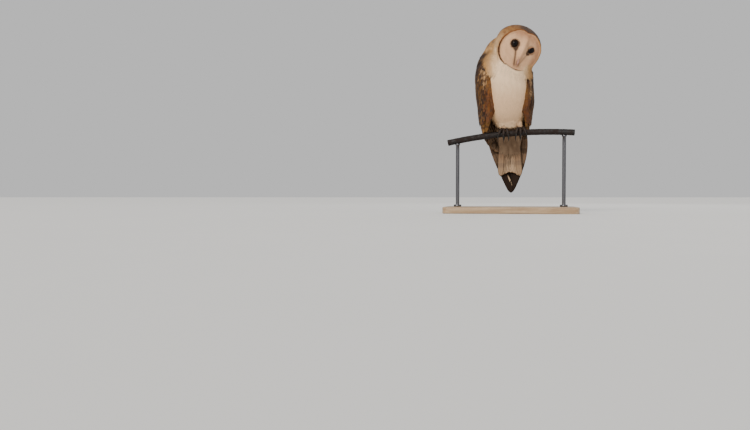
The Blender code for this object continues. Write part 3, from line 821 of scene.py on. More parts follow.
def primaries(name, side, palette, seed):
    """Seven long feathers whose tips make the wing's point behind the tail. The outer edge of the
    outermost follows the bundle's edge, and each of the rest stands a step further in, is shorter
    and lies over it."""
    count = 7
    draw = np.random.default_rng(seed)
    order = np.arange(count)
    tip = PRIMARY_TIP + np.array((0.0, 0.003, 0.008, 0.014, 0.022, 0.031, 0.041))
    width = 0.0088

    def place(row):
        part, outline = row
        height = 0.034 + (tip - 0.034) * part
        half_width = rear_end(height)[1]
        reach = half_width - width * max(outline, 0.25) * 0.8 - order * half_width * 0.125
        depth = 0.0002 + 0.00045 * (count - 1 - order)
        turn = np.degrees(np.arccos(np.clip(reach / half_width, 0.02, 0.998)))
        point = primary_points(side, height, turn, depth)
        over = primary_points(side, height, turn + 1, depth) - point
        down = primary_points(side, height - 0.001, turn, depth) - point
        return point, unit(side * np.cross(down, over))

    centre, normal = stack_rows(zip(*FLIGHT), place)
    chance = draw.random(count)
    outermost = 1.0 * (order == 0)
    rows = FLIGHT.rows * np.ones((count, 1))
    tint = mix(palette.tawny, palette.umber, 0.30 + 0.70 * smooth(0.42, 0.78, rows))
    tint = mix(tint, palette.rufous, 0.6 * outermost[:, None] * smooth(0.7, 0.3, rows))
    under = mix(palette.tail, palette.umber, 0.28 + 0.17 * smooth(0.15, 0.35, rows)
                + 0.55 * smooth(0.50, 0.72, rows))
    uv, patch = flight_patches(count)
    return vanes(name, FLIGHT, centre, normal, width, 0.0004, 0.14, tint, uv, chance,
                 outermost * (side < 0), width=7, patch=patch, soft=False, under=under)


# ---- tail


def tail_axes():
    along = unit(TAIL_END - TAIL_ROOT)
    across = np.array((math.cos(math.radians(5)), math.sin(math.radians(5)), 0.0))
    return along, across, np.cross(along, across)


def tail_points(share, angle, depth):
    """Points on the tail's flattened oval sections: cos and sin of the angle across and through."""
    _, across, through = tail_axes()
    half_width = 0.0315 - 0.0035 * share - 0.0075 * np.clip((share - 0.72) / 0.28, 0, 1) ** 2
    half_thick = 0.0014 + 0.0115 * np.clip(1 - share, 0, 1) ** 1.4
    aside = ((half_width - depth) * np.cos(angle))[..., None] * across
    out = ((half_thick - depth) * np.sin(angle))[..., None] * through
    return TAIL_ROOT + (TAIL_END - TAIL_ROOT) * share[..., None] + aside + out


def rectrices(name, palette, seed):
    """Twelve tail feathers in a narrow fan, the outer ones longest and lowest, which leaves a notch
    at the tail's end."""
    count = 12
    draw = np.random.default_rng(seed)
    place = np.linspace(-1, 1, count)
    along, across_tail, through = tail_axes()
    front = -through if through[1] > 0 else through
    length = np.linalg.norm(TAIL_END - TAIL_ROOT)
    reach = length * (0.965 + 0.075 * np.abs(place) ** 1.2 + draw.uniform(-0.008, 0.008, count))
    part = FLIGHT.rows[None, :, None]
    fan = (0.0128 + 0.0085 * FLIGHT.rows)[None, :, None] * place[:, None, None]
    centre = TAIL_ROOT + along * (reach[:, None, None] * part) + across_tail * fan
    centre = centre + front * (np.abs(place)[:, None, None] * 0.0022 - 0.0012)
    tint = mix(palette.tail, palette.white, 0.36 * smooth(0.55, 0.92, FLIGHT.rows))
    # Darker towards the root: painted shade cast by the body over the tail's upper part.
    tint = tint * (0.66 + 0.34 * smooth(0.42, 0.72, FLIGHT.rows))[:, None]
    tint = mix(tint[None], palette.tawny, (0.45 * np.abs(place) ** 3)[:, None])
    uv, patch = flight_patches(count)
    return vanes(name, FLIGHT, centre, np.broadcast_to(-front, centre.shape), 0.0070, 0.0003, 0.05,
                 tint, uv, draw.random(count), width=5, patch=patch, soft=False)


def tail_coverts(name, palette, seed):
    """Soft feathers over the root of the tail, white below with painted shade from the body, and
    gold above.
    """
    _, across_tail, through = tail_axes()
    facing = 1.0 if through[1] > 0 else -1.0
    draw = np.random.default_rng(seed)
    rows, each = 34, 90
    count = rows * each
    share = np.repeat(np.linspace(-0.10, 0.42, rows), each)
    angle = np.tile(round_angles(each), rows)
    angle = angle + np.repeat(np.arange(rows) % 2, each) * math.pi / each
    angle = angle + draw.uniform(-0.05, 0.05, count)
    share = share + draw.uniform(-0.06, 0.06, count)
    length = 0.022 * draw.uniform(0.75, 1.3, count)
    total = np.linalg.norm(TAIL_END - TAIL_ROOT)

    def place(part):
        here = share + part * length / total
        thick = 0.0014 + 0.0115 * (1 - here) ** 1.4
        depth = 0.0020 * (1 - part) ** 1.3 + (thick - 0.0030) * smooth(0.15, 0.60, here)
        point = tail_points(here, angle, depth)
        out = unit(tail_points(here, angle, depth - 0.001) - point)
        over = tail_points(here, angle + 0.05, depth) - point
        down = tail_points(here + 0.02, angle, depth) - point
        flat = unit(np.cross(down, over))
        flat = flat * np.sign(dot(flat, out))
        middle = TAIL_ROOT + (TAIL_END - TAIL_ROOT) * here[:, None]
        narrow = 0.12 * smooth(0.15, 0.60, here)[:, None]
        point = point - across_tail * dot(point - middle, across_tail) * narrow
        return point, unit(flat + 0.2 * out)

    centre, normal = stack_rows(MIDDLE.rows, place)
    rear = smooth(-0.25, 0.25, np.sin(angle) * facing)
    below = mix(palette.tail, palette.white, 0.06 + 0.10 * ripple(centre[:, -1], 0.012, seed))
    # The underside is darkened to 0.66 of its colour as painted shade under the body, and down to
    # 0.46 further along the tail.
    below = below * (0.66 - 0.20 * smooth(0.20, 0.38, share))[:, None]
    above = mix(palette.gold, palette.grey,
                0.4 + 0.4 * ripple(centre[:, -1], 0.010, seed + 1))
    chance = draw.random(count)
    tint = speckled(mix(below, above, rear), chance, 0.2)
    uv = join(angle / math.tau % 1, share + 0.3)
    half = 0.0014 * draw.uniform(0.85, 1.15, count)
    return vanes(name, MIDDLE, centre, normal, half, 0.00010, 0.22, tint, uv, chance)


# ---- skin, face and feet


def skin_shells(coat):
    """The skin's shells: the body under its coat, and the two folded arms under the coverts."""
    stations = np.concatenate([np.linspace(0.0, 2.0, 150), np.linspace(2.0, 3.0, 90)[1:]])[1:-1]
    angles = round_angles(288)
    grid = np.meshgrid(stations, angles, indexing="ij")
    origins, directions = body_rays(grid[0].ravel(), grid[1].ravel())
    point = origins + directions * walk_out(origins, directions, coat)[:, None]
    face = disc_mask(head_local(point))[:, None]
    thin = origins + directions * walk_out(origins, directions, coat * 0.5)[:, None]
    shells = [loft_shell((point * (1 - face) + thin * face).reshape(len(stations), len(angles), 3))]
    for side in (-1, 1):
        rise = np.repeat(np.linspace(0.16, 0.95, 40), 40)
        share = np.tile(np.linspace(0.03, 0.97, 40), 40)
        outer = wing_points(side, rise, share, coat).reshape(40, 40, 3)
        inner = wing_points(side, rise, share, coat + 0.004).reshape(40, 40, 3)
        rings = np.concatenate([outer, inner[:, ::-1]], axis=1)
        shells.append(loft_shell(rings if side > 0 else rings[:, ::-1]))
    return shells


def eye_radius(tilt):
    """An eyeball's radius at an angle t off its axis: R (1 + 0.05 exp(-(t/0.55)^2))."""
    return EYE_RADIUS * (1 + 0.05 * np.exp(-((tilt / 0.55) ** 2)))


def eye_points(side, tilt, turn, radius):
    """Points about an eye, from the angle off its axis and the turn about it."""
    x = radius * np.sin(tilt) * np.cos(turn)
    z = radius * np.sin(tilt) * np.sin(turn)
    y = EYE_DEPTH - radius * np.cos(tilt)
    return HEAD_CENTRE + join(side * EYE_SIDE + x, y, EYE_Z + z) @ HEAD_AXES.T


def lid_edge(side, turn):
    """How far the lids' edge is from the eye's axis. The opening is an almond whose long axis runs
    from the outer upper corner to the inner lower one."""
    long_axis = math.pi / 2 - side * math.pi / 4
    return LID_OPEN[side] * (1 - LID_DROOP[side] * np.sin(turn - long_axis) ** 2)


def lid_shells():
    """Lids as a closed shell over each eyeball, from a rounded edge at the opening to the back."""
    shells = []
    count = 72
    turn = round_angles(count)[:, None]
    outer = np.linspace(0, 1, 8)
    share = np.concatenate([outer, outer[::-1], [-0.05]])[None]
    lift = np.concatenate([np.full(8, LID_OUTER), np.full(8, LID_INNER), [LID_EDGE]])[None]
    lift = lift - 0.0003 * (share == 0) * (lift > LID_EDGE)
    for side in (-1, 1):
        edge = np.arcsin(lid_edge(side, turn) / EYE_RADIUS)
        tilt = edge + (LID_BACK - edge) * share
        points = eye_points(side, tilt, turn, eye_radius(tilt) + lift).reshape(-1, 3)
        sides = share.shape[1]
        quads = (grid_faces(count + 1, sides) % (count * sides)).reshape(-1, 4)
        shells.append((points, quads.ravel(), np.full(len(quads), 4)))
    return shells


def eye_shell(side):
    """An eyeball: a ball whose front swells into the cornea."""
    tilt = np.linspace(0, math.pi, 40)[1:-1][:, None]
    turn = round_angles(48)[None]
    return loft_shell(eye_points(side, tilt, turn, eye_radius(tilt))[::-1])


def bill_shells():
    """Upper bill: an oval section carried down an arch from brow to tip, into a hook. The lower
    bill is a shorter, flatter one behind it."""
    share = np.linspace(0, 1, 40)
    angle = round_angles(28)
    shells = []
    for back, narrow, shorten in ((0.0, 1.0, 1.0), (0.0026, 0.80, 0.80)):
        middle = BILL_ROOT + (BILL_TIP - BILL_ROOT) * share[:, None] * shorten
        middle[:, 1] -= 0.0034 * np.sin(math.pi * share**1.3) * shorten
        middle[:, 1] += back + 0.0030 * (1 - share) + 0.0022 * share**5
        half = 0.0034 * narrow * (1 - 0.93 * share**1.7)
        deep = 0.0042 * narrow * (1 - 0.90 * share**1.9)
        x = half[:, None] * np.cos(angle) * (1 - 0.22 * np.maximum(-np.sin(angle), 0))
        y = middle[:, 1:2] + deep[:, None] * np.sin(angle)
        rings = HEAD_CENTRE + join(x, y, middle[:, 2:3]) @ HEAD_AXES.T
        shells.append(loft_shell(rings[::-1]))
    return shells


def perch_axis(x):
    """Point of the bar's middle line at x, in a gentle arc whose top is to one side."""
    x = np.asarray(x, float)
    drop = (x - PERCH_TOP_X) ** 2 - PERCH_TOP_X**2
    return join(x, 0.0, -drop / (2 * PERCH_BEND_RADIUS))


TOE_GAP = 0.0003
TOE_RADIUS = 0.0031
CLAW_LENGTH = 0.0165
TOES = (
    ("inner", -0.0036, -0.0050, 104, -1),
    ("middle", 0.0004, 0.0010, 112, -1),
    ("outer", 0.0042, 0.0080, 98, -1),
    ("hind", 0.0000, 0.0, 84, 1),
)


def toe_path(foot_x, start, splay, reach_angle, back, count):
    """A toe that starts on top of the bar and wraps over its front, or over its back."""
    share = np.linspace(0, 1, count)
    radius = PERCH_RADIUS + TOE_GAP + TOE_RADIUS
    turn = np.radians(reach_angle) * share
    lift = radius + 0.0008 * np.sin(math.pi * share)
    points = perch_axis(foot_x + start + splay * share)
    points[:, 1] += back * lift * np.sin(turn)
    points[:, 2] += lift * np.cos(turn)
    return points


def toe_swell(share, angle):
    """Scutes across the top of a toe and pads under it."""
    scutes = 0.05 * np.abs(np.sin(share * math.pi * 11)) * np.maximum(np.sin(angle), 0.2)
    pads = 0.10 * np.abs(np.sin(share * math.pi * 3)) * np.maximum(-np.sin(angle), 0)
    return 1 + scutes + pads


def foot_shells():
    toes, claws = [], []
    for foot_x, side in zip(FOOT_X, (-1, 1)):
        for _, start, splay, angle, back in TOES:
            path = toe_path(foot_x, side * start, side * splay, angle, back, 40)
            share = np.linspace(0, 1, len(path))
            radii = TOE_RADIUS * (1 - 0.18 * share) * np.sqrt(np.clip(1 - share**14, 0.05, 1))
            toes.append(tube(path, radii, 18, swell=toe_swell))
            heading = unit(path[-1] - path[-8])
            step = np.linspace(0, 1, 22)[:, None]
            down = np.array((0.0, -0.30 * back, -1.0))
            claw = path[-1] - heading * 0.001
            claw = claw + CLAW_LENGTH * step * (heading * (1 - step) + down * step)
            claw = claw + np.array((0, -back * 0.003, 0)) * step**2
            radii = 0.0022 * (1 - 0.93 * step[:, 0] ** 1.25)
            claws.append(tube(claw, radii, 14, flat=1.15))
        ankle = perch_axis(foot_x) + (0, 0, PERCH_RADIUS + TOE_GAP + 0.0046)
        rise = np.linspace(-1, 1, 14)[:, None]
        path = ankle + rise * (0, 0, 0.0052)
        toes.append(tube(path, 0.0052 * np.sqrt(1.02 - rise[:, 0] ** 2), 18))
    return toes, claws


# ---- ruff, skirt and leg feathers


def ruff(name, palette, seed):
    """Rows of short stiff feathers along the facial disc's rim. A root stands at k times the rim's
    radius at the angle t, on the front of the face, and the feather points out from there, the
    front rows a little forward and the hind rows back."""
    draw = np.random.default_rng(seed)
    radii = np.array((0.930, 0.955, 0.980, 1.000, 1.020))
    tips = np.array((4.0, 6.0, 4.0, -12.0, -34.0))
    each = 400
    row = np.repeat(np.arange(len(radii)), each)
    count = len(row)
    turn = np.tile(np.arange(each) / each, len(radii)) + (row % 2) * 0.5 / each
    turn = (turn + draw.uniform(-0.3, 0.3, count) / each) * math.tau
    far = smooth(0.3, 0.8, np.cos(turn)) * smooth(0.5, -0.1, np.sin(turn))
    share = radii[row] + draw.uniform(-0.006, 0.006, count) - 0.03 * far
    x = DISC_HALF_WIDTH * np.cos(turn)
    z = DISC_HALF_HEIGHT * np.sin(turn)
    share = share - brow_cleft(x, z + DISC_Z)
    flat = join(x * share, 0.0, DISC_Z + z * share)
    origins = HEAD_CENTRE + flat @ HEAD_AXES.T
    directions = np.broadcast_to(-HEAD_AXES[:, 1], origins.shape)
    root = origins + directions * walk_out(origins, directions, 0.0008)[:, None]
    local = head_local(root)
    radial = unit(join(np.cos(turn), 0.0, np.sin(turn)))
    forward = np.array((0.0, -1.0, 0.0))
    tilt = np.radians(tips[row] + draw.normal(size=count) * 4)
    way = np.cos(tilt)[:, None] * radial + np.sin(tilt)[:, None] * forward
    facing = np.cos(tilt)[:, None] * forward - np.sin(tilt)[:, None] * radial
    length = (0.0042 + 0.0003 * row) * draw.uniform(0.88, 1.10, count) * (1 - 0.35 * far)
    part = LONG.rows[None, :, None]
    centre = local[:, None] + way[:, None] * (length[:, None, None] * part)
    centre = centre - facing[:, None] * (0.0007 * part**2)
    centre = HEAD_CENTRE + centre @ HEAD_AXES.T
    normal = np.broadcast_to((facing @ HEAD_AXES.T)[:, None], centre.shape)
    chance = draw.random(count)
    x, _, z = split(local)
    outer = smooth(0.010, 0.028, x)
    base = mix(palette.face, palette.gold,
               np.clip(row / 4 * 0.8 * smooth(-0.034, -0.010, z) + 0.55 * outer, 0, 1))
    dark = np.clip(0.10 + 0.85 * smooth(0.016, -0.012, z) + 0.2 * (chance - 0.5), 0, 1)
    dark = mix(palette.rufous, palette.rim, dark)
    inner = (row == 0)[:, None] & (disc_mask(local) > 0.5)[:, None]
    base = np.where(inner, markings(root, palette), base)
    strength = np.array((0.00, 0.25, 0.95, 1.00, 0.35))[row] * (1 - 0.7 * outer)
    mask = smooth(0.10, 0.55, LONG.rows)[None] * strength[:, None]
    tint = mix(base[:, None], dark[:, None], mask)
    half = 0.00062 * draw.uniform(0.85, 1.15, count)
    uv = join(turn / math.tau % 1, 0.75 + 0.03 * row)
    return vanes(name, LONG, centre, normal, half, 0.00010, 0.08, tint, uv, chance)


def skirt(name, palette, seed):
    """Loose feathers from the lower belly over the legs. A feather leaves its root partly along the
    coat's lie and hangs: p(s) = root + l (a lie + (s - a) down + b s normal), where
    a = (1 - h) (2 s - s^2), and h grows towards the feet."""
    draw = np.random.default_rng(seed)
    count = 6000
    first, second = spread(count)
    station = 0.42 + 0.83 * first**1.25 + 0.05 * draw.uniform(-1, 1, count)
    angle = math.tau * second
    root = body_points(station, angle, 0.0016)
    normal = field_normals(root)[0]
    length = np.clip(root[:, 2] - 0.0088, 0.007, 0.020) * draw.uniform(0.60, 1.0, count)
    small = smooth(0.75, 1.15, station)
    length = length * (1 - 0.35 * small)
    down = np.array((0.0, 0.0, -1.0))
    part = MIDDLE.rows[None, :, None]
    stray = draw.normal(size=(count, 3)) * 0.06
    flow = unit(lie(root, normal) + stray)
    hang = 0.65 * smooth(1.25, 0.70, station)[:, None, None]
    share = (1 - hang) * (2 * part - part**2)
    off = share * flow[:, None] + (part - share) * down
    off = off + (0.02 + 0.12 * hang) * part * normal[:, None]
    centre = root[:, None] + length[:, None, None] * off
    centre = centre - (0.0007 * small)[:, None, None] * normal[:, None]
    along = unit(np.gradient(centre, axis=1))
    facing = unit(normal * join(1.0, 1.0, 1 - hang[:, 0, 0]))
    flat = unit(facing[:, None] - along * dot(facing[:, None], along))
    chance = draw.random(count)
    tint = markings(root, palette)
    tint = mix(tint, palette.white, 0.5 * smooth(0.040, 0.022, root[:, 2]))
    half = 0.0009 * draw.uniform(0.8, 1.2, count) * (1 - 0.2 * small)
    uv = join(angle / math.tau, station / 3)
    tint = speckled(tint, chance, 0.10)
    return vanes(name, MIDDLE, centre, flat, half, 0.00009, 0.08, tint, uv, chance)


def leg_ends(foot_x):
    """A leg's ankle and hip."""
    hip = join(foot_x * 0.85 - 0.003, 0.014, 0.052)
    return perch_axis(foot_x) + (0, 0, ANKLE_HEIGHT), hip


def leg_radius(share):
    return 0.0050 + 0.0030 * np.clip(share, 0, 1)


def leg_coat(name, palette, seed):
    """Short feathers that lie down each leg, on a cone r(s) about the line from ankle to hip."""
    draw = np.random.default_rng(seed)
    each = 1400
    count = 2 * each
    first, second = spread(each)
    foot = np.repeat(np.arange(2), each)
    share = np.tile(0.02 + 0.90 * first, 2)
    angle = np.tile(math.tau * second, 2)
    length = 0.0120 * draw.uniform(0.7, 1.2, count)
    chance = draw.random(count)
    ankle, hip = leg_ends(np.array(FOOT_X)[foot])
    axis = unit(hip - ankle)
    first = unit(np.cross(axis, (0.0, 1.0, 0.0)))
    second = np.cross(axis, first)
    out = np.cos(angle)[:, None] * first + np.sin(angle)[:, None] * second
    total = np.linalg.norm(hip - ankle, axis=1)

    def place(part):
        here = share - part * length / total
        radius = leg_radius(here) - 0.0012 * (1 - part) + 0.0008 * part * chance
        radius = radius - 0.0016 * smooth(0.0, -0.15, here)
        return (ankle + axis * (total * here)[:, None] + out * radius[:, None],)

    (centre,) = stack_rows(MIDDLE.rows, place)
    along = unit(np.gradient(centre, axis=1))
    flat = unit(out[:, None] - along * dot(out[:, None], along))
    # Painted shade: the legs' feathers are mixed towards buff and darkened, most at the foot; the
    # buff is partly their own colour.
    tint = mix(palette.white, palette.buff, 0.70 + 0.3 * chance)
    tint = tint * (0.50 + 0.30 * smooth(0.0, 0.5, share))[:, None]
    half = 0.00070 * draw.uniform(0.8, 1.2, count)
    uv = join((angle / math.tau + foot) / 2, share * 0.3)
    return vanes(name, MIDDLE, centre, flat, half, 0.00007, 0.14, tint, uv, chance)


def leg_shells():
    """Each leg under its feathers, as a tapered tube."""
    shells = []
    for foot_x in FOOT_X:
        share = np.linspace(-0.05, 1.0, 24)
        ankle, hip = leg_ends(foot_x)
        path = ankle + (hip - ankle) * share[:, None]
        shells.append(tube(path, leg_radius(share) - 0.0012, 20))
    return shells


# ---- bar and stand


def bar_shell():
    """The bar as a round tube along its arc, with cut ends and a rust-eaten surface: the radius
    swells and shrinks with soft noise."""
    x = np.pad(np.linspace(-PERCH_HALF_LENGTH, PERCH_HALF_LENGTH, 220), 2, mode="edge")
    radii = np.full(len(x), PERCH_RADIUS)
    radii[[0, -1]] = PERCH_RADIUS * 0.55
    radii[[1, -2]] = PERCH_RADIUS * 0.93
    x[2] += 0.0005
    x[-3] -= 0.0005
    sides = 36
    angle = round_angles(sides)
    middle = perch_axis(x)
    slope = -(x - PERCH_TOP_X) / PERCH_BEND_RADIUS
    up = unit(join(-slope, 0.0, 1.0))
    rings = middle[:, None] + radii[:, None, None] * (
        np.cos(angle)[None, :, None] * np.array((0.0, 1.0, 0.0))
        + np.sin(angle)[None, :, None] * up[:, None]
    )
    pits = ripple(rings, 0.004, 21) * 0.00010 + ripple(rings, 0.013, 22) * 0.00012
    rings = rings + (rings - middle[:, None]) / PERCH_RADIUS * pits[..., None]
    return loft_shell(rings)


def board_shell():
    """The base: a rectangle with round corners, carried up through a rounded lower edge, a flat
    side and a rounded upper edge."""
    half_x, half_y, height, corner, edge = 0.140, 0.080, 0.014, 0.012, 0.0022
    count = 24
    quarter = np.linspace(0, math.pi / 2, count)
    turn = np.concatenate([quarter + step * math.pi / 2 for step in range(4)])
    sign_x = np.repeat((1, -1, -1, 1), count)
    sign_y = np.repeat((1, 1, -1, -1), count)
    curve = np.linspace(0, math.pi / 2, 7)
    inset = np.concatenate([edge * (1 - np.sin(curve)), edge * (1 - np.cos(curve))])
    level = np.concatenate([edge * (1 - np.cos(curve)), height - edge + edge * np.sin(curve)])
    x = sign_x * (half_x - corner) + (corner - inset)[:, None] * np.cos(turn)
    y = sign_y * (half_y - corner) + (corner - inset)[:, None] * np.sin(turn)
    return loft_shell(join(x, y, level[:, None] - PERCH_HEIGHT))


def rod_shells():
    """Two rods, each with a collar on the base and a saddle under the bar: r(z) about a line."""
    shells = []
    for x in (-ROD_SPREAD, ROD_SPREAD):
        top = float(perch_axis(x)[2]) - PERCH_RADIUS + 0.0006
        bottom = 0.0139 - PERCH_HEIGHT
        z = np.array((0.0, 0.0, 0.0007, 0.0038, 0.0046, 0.0048)) + bottom
        z = np.concatenate([z, np.linspace(bottom + 0.006, top - 0.0042, 12)])
        z = np.concatenate([z, top - np.array((0.0040, 0.0034, 0.0004, 0.0))])
        collar = np.array((0.0065, 0.0078, 0.0084, 0.0084, 0.0078, 0.0040))
        radii = np.concatenate([collar, np.full(12, 0.0040), (0.0046, 0.0052, 0.0052, 0.0044)])
        path = join(x, 0.0, z)
        angle = round_angles(32)
        ring = join(np.cos(angle), np.sin(angle), 0.0)
        shells.append(loft_shell(path[:, None] + radii[:, None, None] * ring[None]))
    return shells


# ---- shader nodes


def add(tree, kind, inputs=None, **settings):
    """A node with its settings. Each of its inputs is a constant or another node's output."""
    made = tree.nodes.new(kind)
    for key, value in settings.items():
        setattr(made, key, value)
    for key, value in (inputs or {}).items():
        if isinstance(value, bpy.types.NodeSocket):
            tree.links.new(value, made.inputs[key])
        else:
            made.inputs[key].default_value = value
    return made


def maths(tree, operation, *values):
    return add(tree, "ShaderNodeMath", dict(enumerate(values)), operation=operation).outputs[0]


def product(tree, *values):
    return reduce(lambda first, second: maths(tree, "MULTIPLY", first, second), values)


def ramp(tree, value, low, high, falling=False):
    """Smoothstep of a value from 0 at low to 1 at high, or from 1 to 0 if it is falling."""
    inputs = {"Value": value, "From Min": low, "From Max": high}
    if falling:
        inputs.update({"To Min": 1.0, "To Max": 0.0})
    return add(tree, "ShaderNodeMapRange", inputs, interpolation_type="SMOOTHSTEP").outputs[0]


def remap(tree, share, low, high):
    """A share of 0 to 1 laid on low to high."""
    inputs = {"Value": share, "To Min": low, "To Max": high}
    return add(tree, "ShaderNodeMapRange", inputs).outputs[0]


def attribute(tree, name):
    return add(tree, "ShaderNodeAttribute", attribute_name=name).outputs


def blend(tree, share, first, second, kind="MIX"):
    made = add(tree, "ShaderNodeMix", {0: share, 6: first, 7: second}, data_type="RGBA",
               blend_type=kind)
    return made.outputs[2]


def rgba(colour):
    return (*colour, 1.0)


def new_group(name, inputs, outputs):
    """An empty shader node group: its tree, its inputs' sockets by name, and its output node."""
    group = bpy.data.node_groups.new(name, "ShaderNodeTree")
    for title, kind in inputs.items():
        group.interface.new_socket(name=title, in_out="INPUT", socket_type="NodeSocket" + kind)
    for title, kind in outputs.items():
        group.interface.new_socket(name=title, in_out="OUTPUT", socket_type="NodeSocket" + kind)
    start = group.nodes.new("NodeGroupInput")
    return group, start.outputs, group.nodes.new("NodeGroupOutput")


def feather_group():
    """Colour and height of a vane: fine barbs that slant off a shaft, dark bars across it, a dark
    tip and a spot near the tip."""
    name = "Vane pattern"
    if name in bpy.data.node_groups:
        return bpy.data.node_groups[name]
    numbers = ("Along", "Across", "Chance", "Speck", "Shaft", "Barbs", "Bars", "Bar Depth", "Tip",
               "Spot Place")
    inputs = {"Tint": "Color", "Bar Colour": "Color", "Tip Colour": "Color", "Spot Colour": "Color"}
    inputs.update({title: "Float" for title in numbers})
    tree, start, end = new_group(name, inputs, {"Colour": "Color", "Height": "Float"})
    along, across = start["Along"], start["Across"]
    off = maths(tree, "ABSOLUTE", maths(tree, "SUBTRACT", across, 0.5))
    slant = maths(tree, "ADD", along, product(tree, off, -0.55))
    turns = product(tree, slant, start["Barbs"], math.tau)
    barb = maths(tree, "MULTIPLY_ADD", maths(tree, "SINE", turns), 0.5, 0.5)
    wave = maths(tree, "ADD", product(tree, along, start["Bars"]),
                 product(tree, start["Chance"], 0.25))
    bars = ramp(tree, maths(tree, "SINE", product(tree, wave, math.tau)), 0.15, 0.75)
    bars = product(tree, bars, start["Bar Depth"])
    tip = product(tree, ramp(tree, along, 0.62, 0.98), start["Tip"])
    shaft = product(tree, ramp(tree, off, 0.015, 0.055, falling=True), start["Shaft"])
    down = product(tree, maths(tree, "SUBTRACT", along, 0.84), 2.4)
    aside = product(tree, maths(tree, "SUBTRACT", across, start["Spot Place"]), 1.6)
    spot = maths(tree, "ADD", product(tree, aside, aside), product(tree, down, down))
    spot = ramp(tree, maths(tree, "SQRT", spot), 0.09, 0.20, falling=True)
    spot = product(tree, spot, start["Speck"])
    light = remap(tree, barb, 0.86, 1.06)
    colour = blend(tree, 1.0, start["Tint"], light, "MULTIPLY")
    colour = blend(tree, bars, colour, start["Bar Colour"])
    colour = blend(tree, tip, colour, start["Tip Colour"])
    colour = blend(tree, shaft, colour, start["Bar Colour"])
    colour = blend(tree, spot, colour, start["Spot Colour"])
    height = maths(tree, "ADD", product(tree, barb, 0.6), shaft)
    tree.links.new(colour, end.inputs["Colour"])
    tree.links.new(height, end.inputs["Height"])
    return tree


def grain_group():
    """Mottling of a surface: one noise inside another, as a mask from 0 to 1 and as a height."""
    name = "Mottling"
    if name in bpy.data.node_groups:
        return bpy.data.node_groups[name]
    inputs = {"Place": "Vector", "Scale": "Float", "Low": "Float", "High": "Float"}
    tree, start, end = new_group(name, inputs, {"Mask": "Float", "Height": "Float"})
    broad = add(tree, "ShaderNodeTexNoise", {"Vector": start["Place"], "Scale": start["Scale"],
                                             "Detail": 4.0, "Roughness": 0.62})
    scale = product(tree, start["Scale"], 5.3)
    fine = add(tree, "ShaderNodeTexNoise", {"Vector": start["Place"], "Scale": scale,
                                            "Detail": 2.0})
    both = maths(tree, "ADD", product(tree, broad.outputs["Fac"], 0.72),
                 product(tree, fine.outputs["Fac"], 0.28))
    tree.links.new(ramp(tree, both, start["Low"], start["High"]), end.inputs["Mask"])
    tree.links.new(both, end.inputs["Height"])
    return tree


def use_group(tree, group, **values):
    """A group placed in a material with its own values. A name's underscore stands for a space."""
    inputs = {key.replace("_", " "): value for key, value in values.items()}
    return add(tree, "ShaderNodeGroup", inputs, node_tree=group).outputs


def new_material(name, **constants):
    """A material's tree and shader, with the constants set on the shader's own sockets."""
    material = bpy.data.materials.new(name)
    material.use_nodes = True
    tree = material.node_tree
    shader = next(node for node in tree.nodes if node.type == "BSDF_PRINCIPLED")
    for key, value in constants.items():
        shader.inputs[key.replace("_", " ")].default_value = value
    return material, tree, shader


def finish(tree, shader, colour, share, rough, height, strength, relief):
    """Leads to the shader a colour, a roughness between two levels by a share, and a relief."""
    tree.links.new(colour, shader.inputs["Base Color"])
    tree.links.new(remap(tree, share, *rough), shader.inputs["Roughness"])
    bump = add(tree, "ShaderNodeBump", {"Height": height, "Strength": strength,
                                        "Distance": relief})
    tree.links.new(bump.outputs[0], shader.inputs["Normal"])


def place(tree, scale=(1, 1, 1)):
    """Object coordinates, stretched by this scale."""
    coordinates = add(tree, "ShaderNodeTexCoord").outputs["Object"]
    return add(tree, "ShaderNodeMapping", {"Vector": coordinates, "Scale": scale}).outputs[0]


def feather_material(name, bar_colour, shaft, barbs, bars=0.0, bar_depth=0.0, tip=0.0,
                     tip_colour=(0, 0, 0), spot_colour=None, spot_place=0.5):
    """Plumage: each vane's own tint and place drive the pattern."""
    material, tree, shader = new_material(name, Sheen_Weight=0.02, Sheen_Roughness=0.5,
                                          Specular_IOR_Level=0.12)
    vane = attribute(tree, "vane")
    parts = add(tree, "ShaderNodeSeparateColor", {"Color": vane["Color"]}).outputs
    out = use_group(
        tree, feather_group(), Tint=attribute(tree, "tint")["Color"], Along=parts[0],
        Across=parts[1], Chance=parts[2], Speck=vane["Alpha"], Shaft=shaft, Barbs=barbs, Bars=bars,
        Bar_Depth=bar_depth, Bar_Colour=rgba(bar_colour), Tip=tip, Tip_Colour=rgba(tip_colour),
        Spot_Colour=rgba(bar_colour if spot_colour is None else spot_colour),
        Spot_Place=spot_place,
    )
    finish(tree, shader, out["Colour"], out["Height"], (0.80, 0.62), out["Height"], 0.35, 0.00012)
    return material


def skin_material(name):
    """Down over the skin: the plumage's markings, broken up by mottling."""
    material, tree, shader = new_material(name, Sheen_Weight=0.02, Specular_IOR_Level=0.15)
    out = use_group(tree, grain_group(), Place=place(tree), Scale=420.0, Low=0.35, High=0.65)
    shade = remap(tree, out["Mask"], 0.80, 1.02)
    colour = blend(tree, 1.0, attribute(tree, "tint")["Color"], shade, "MULTIPLY")
    finish(tree, shader, colour, out["Mask"], (0.90, 0.72), out["Height"], 0.4, 0.0004)
    return material


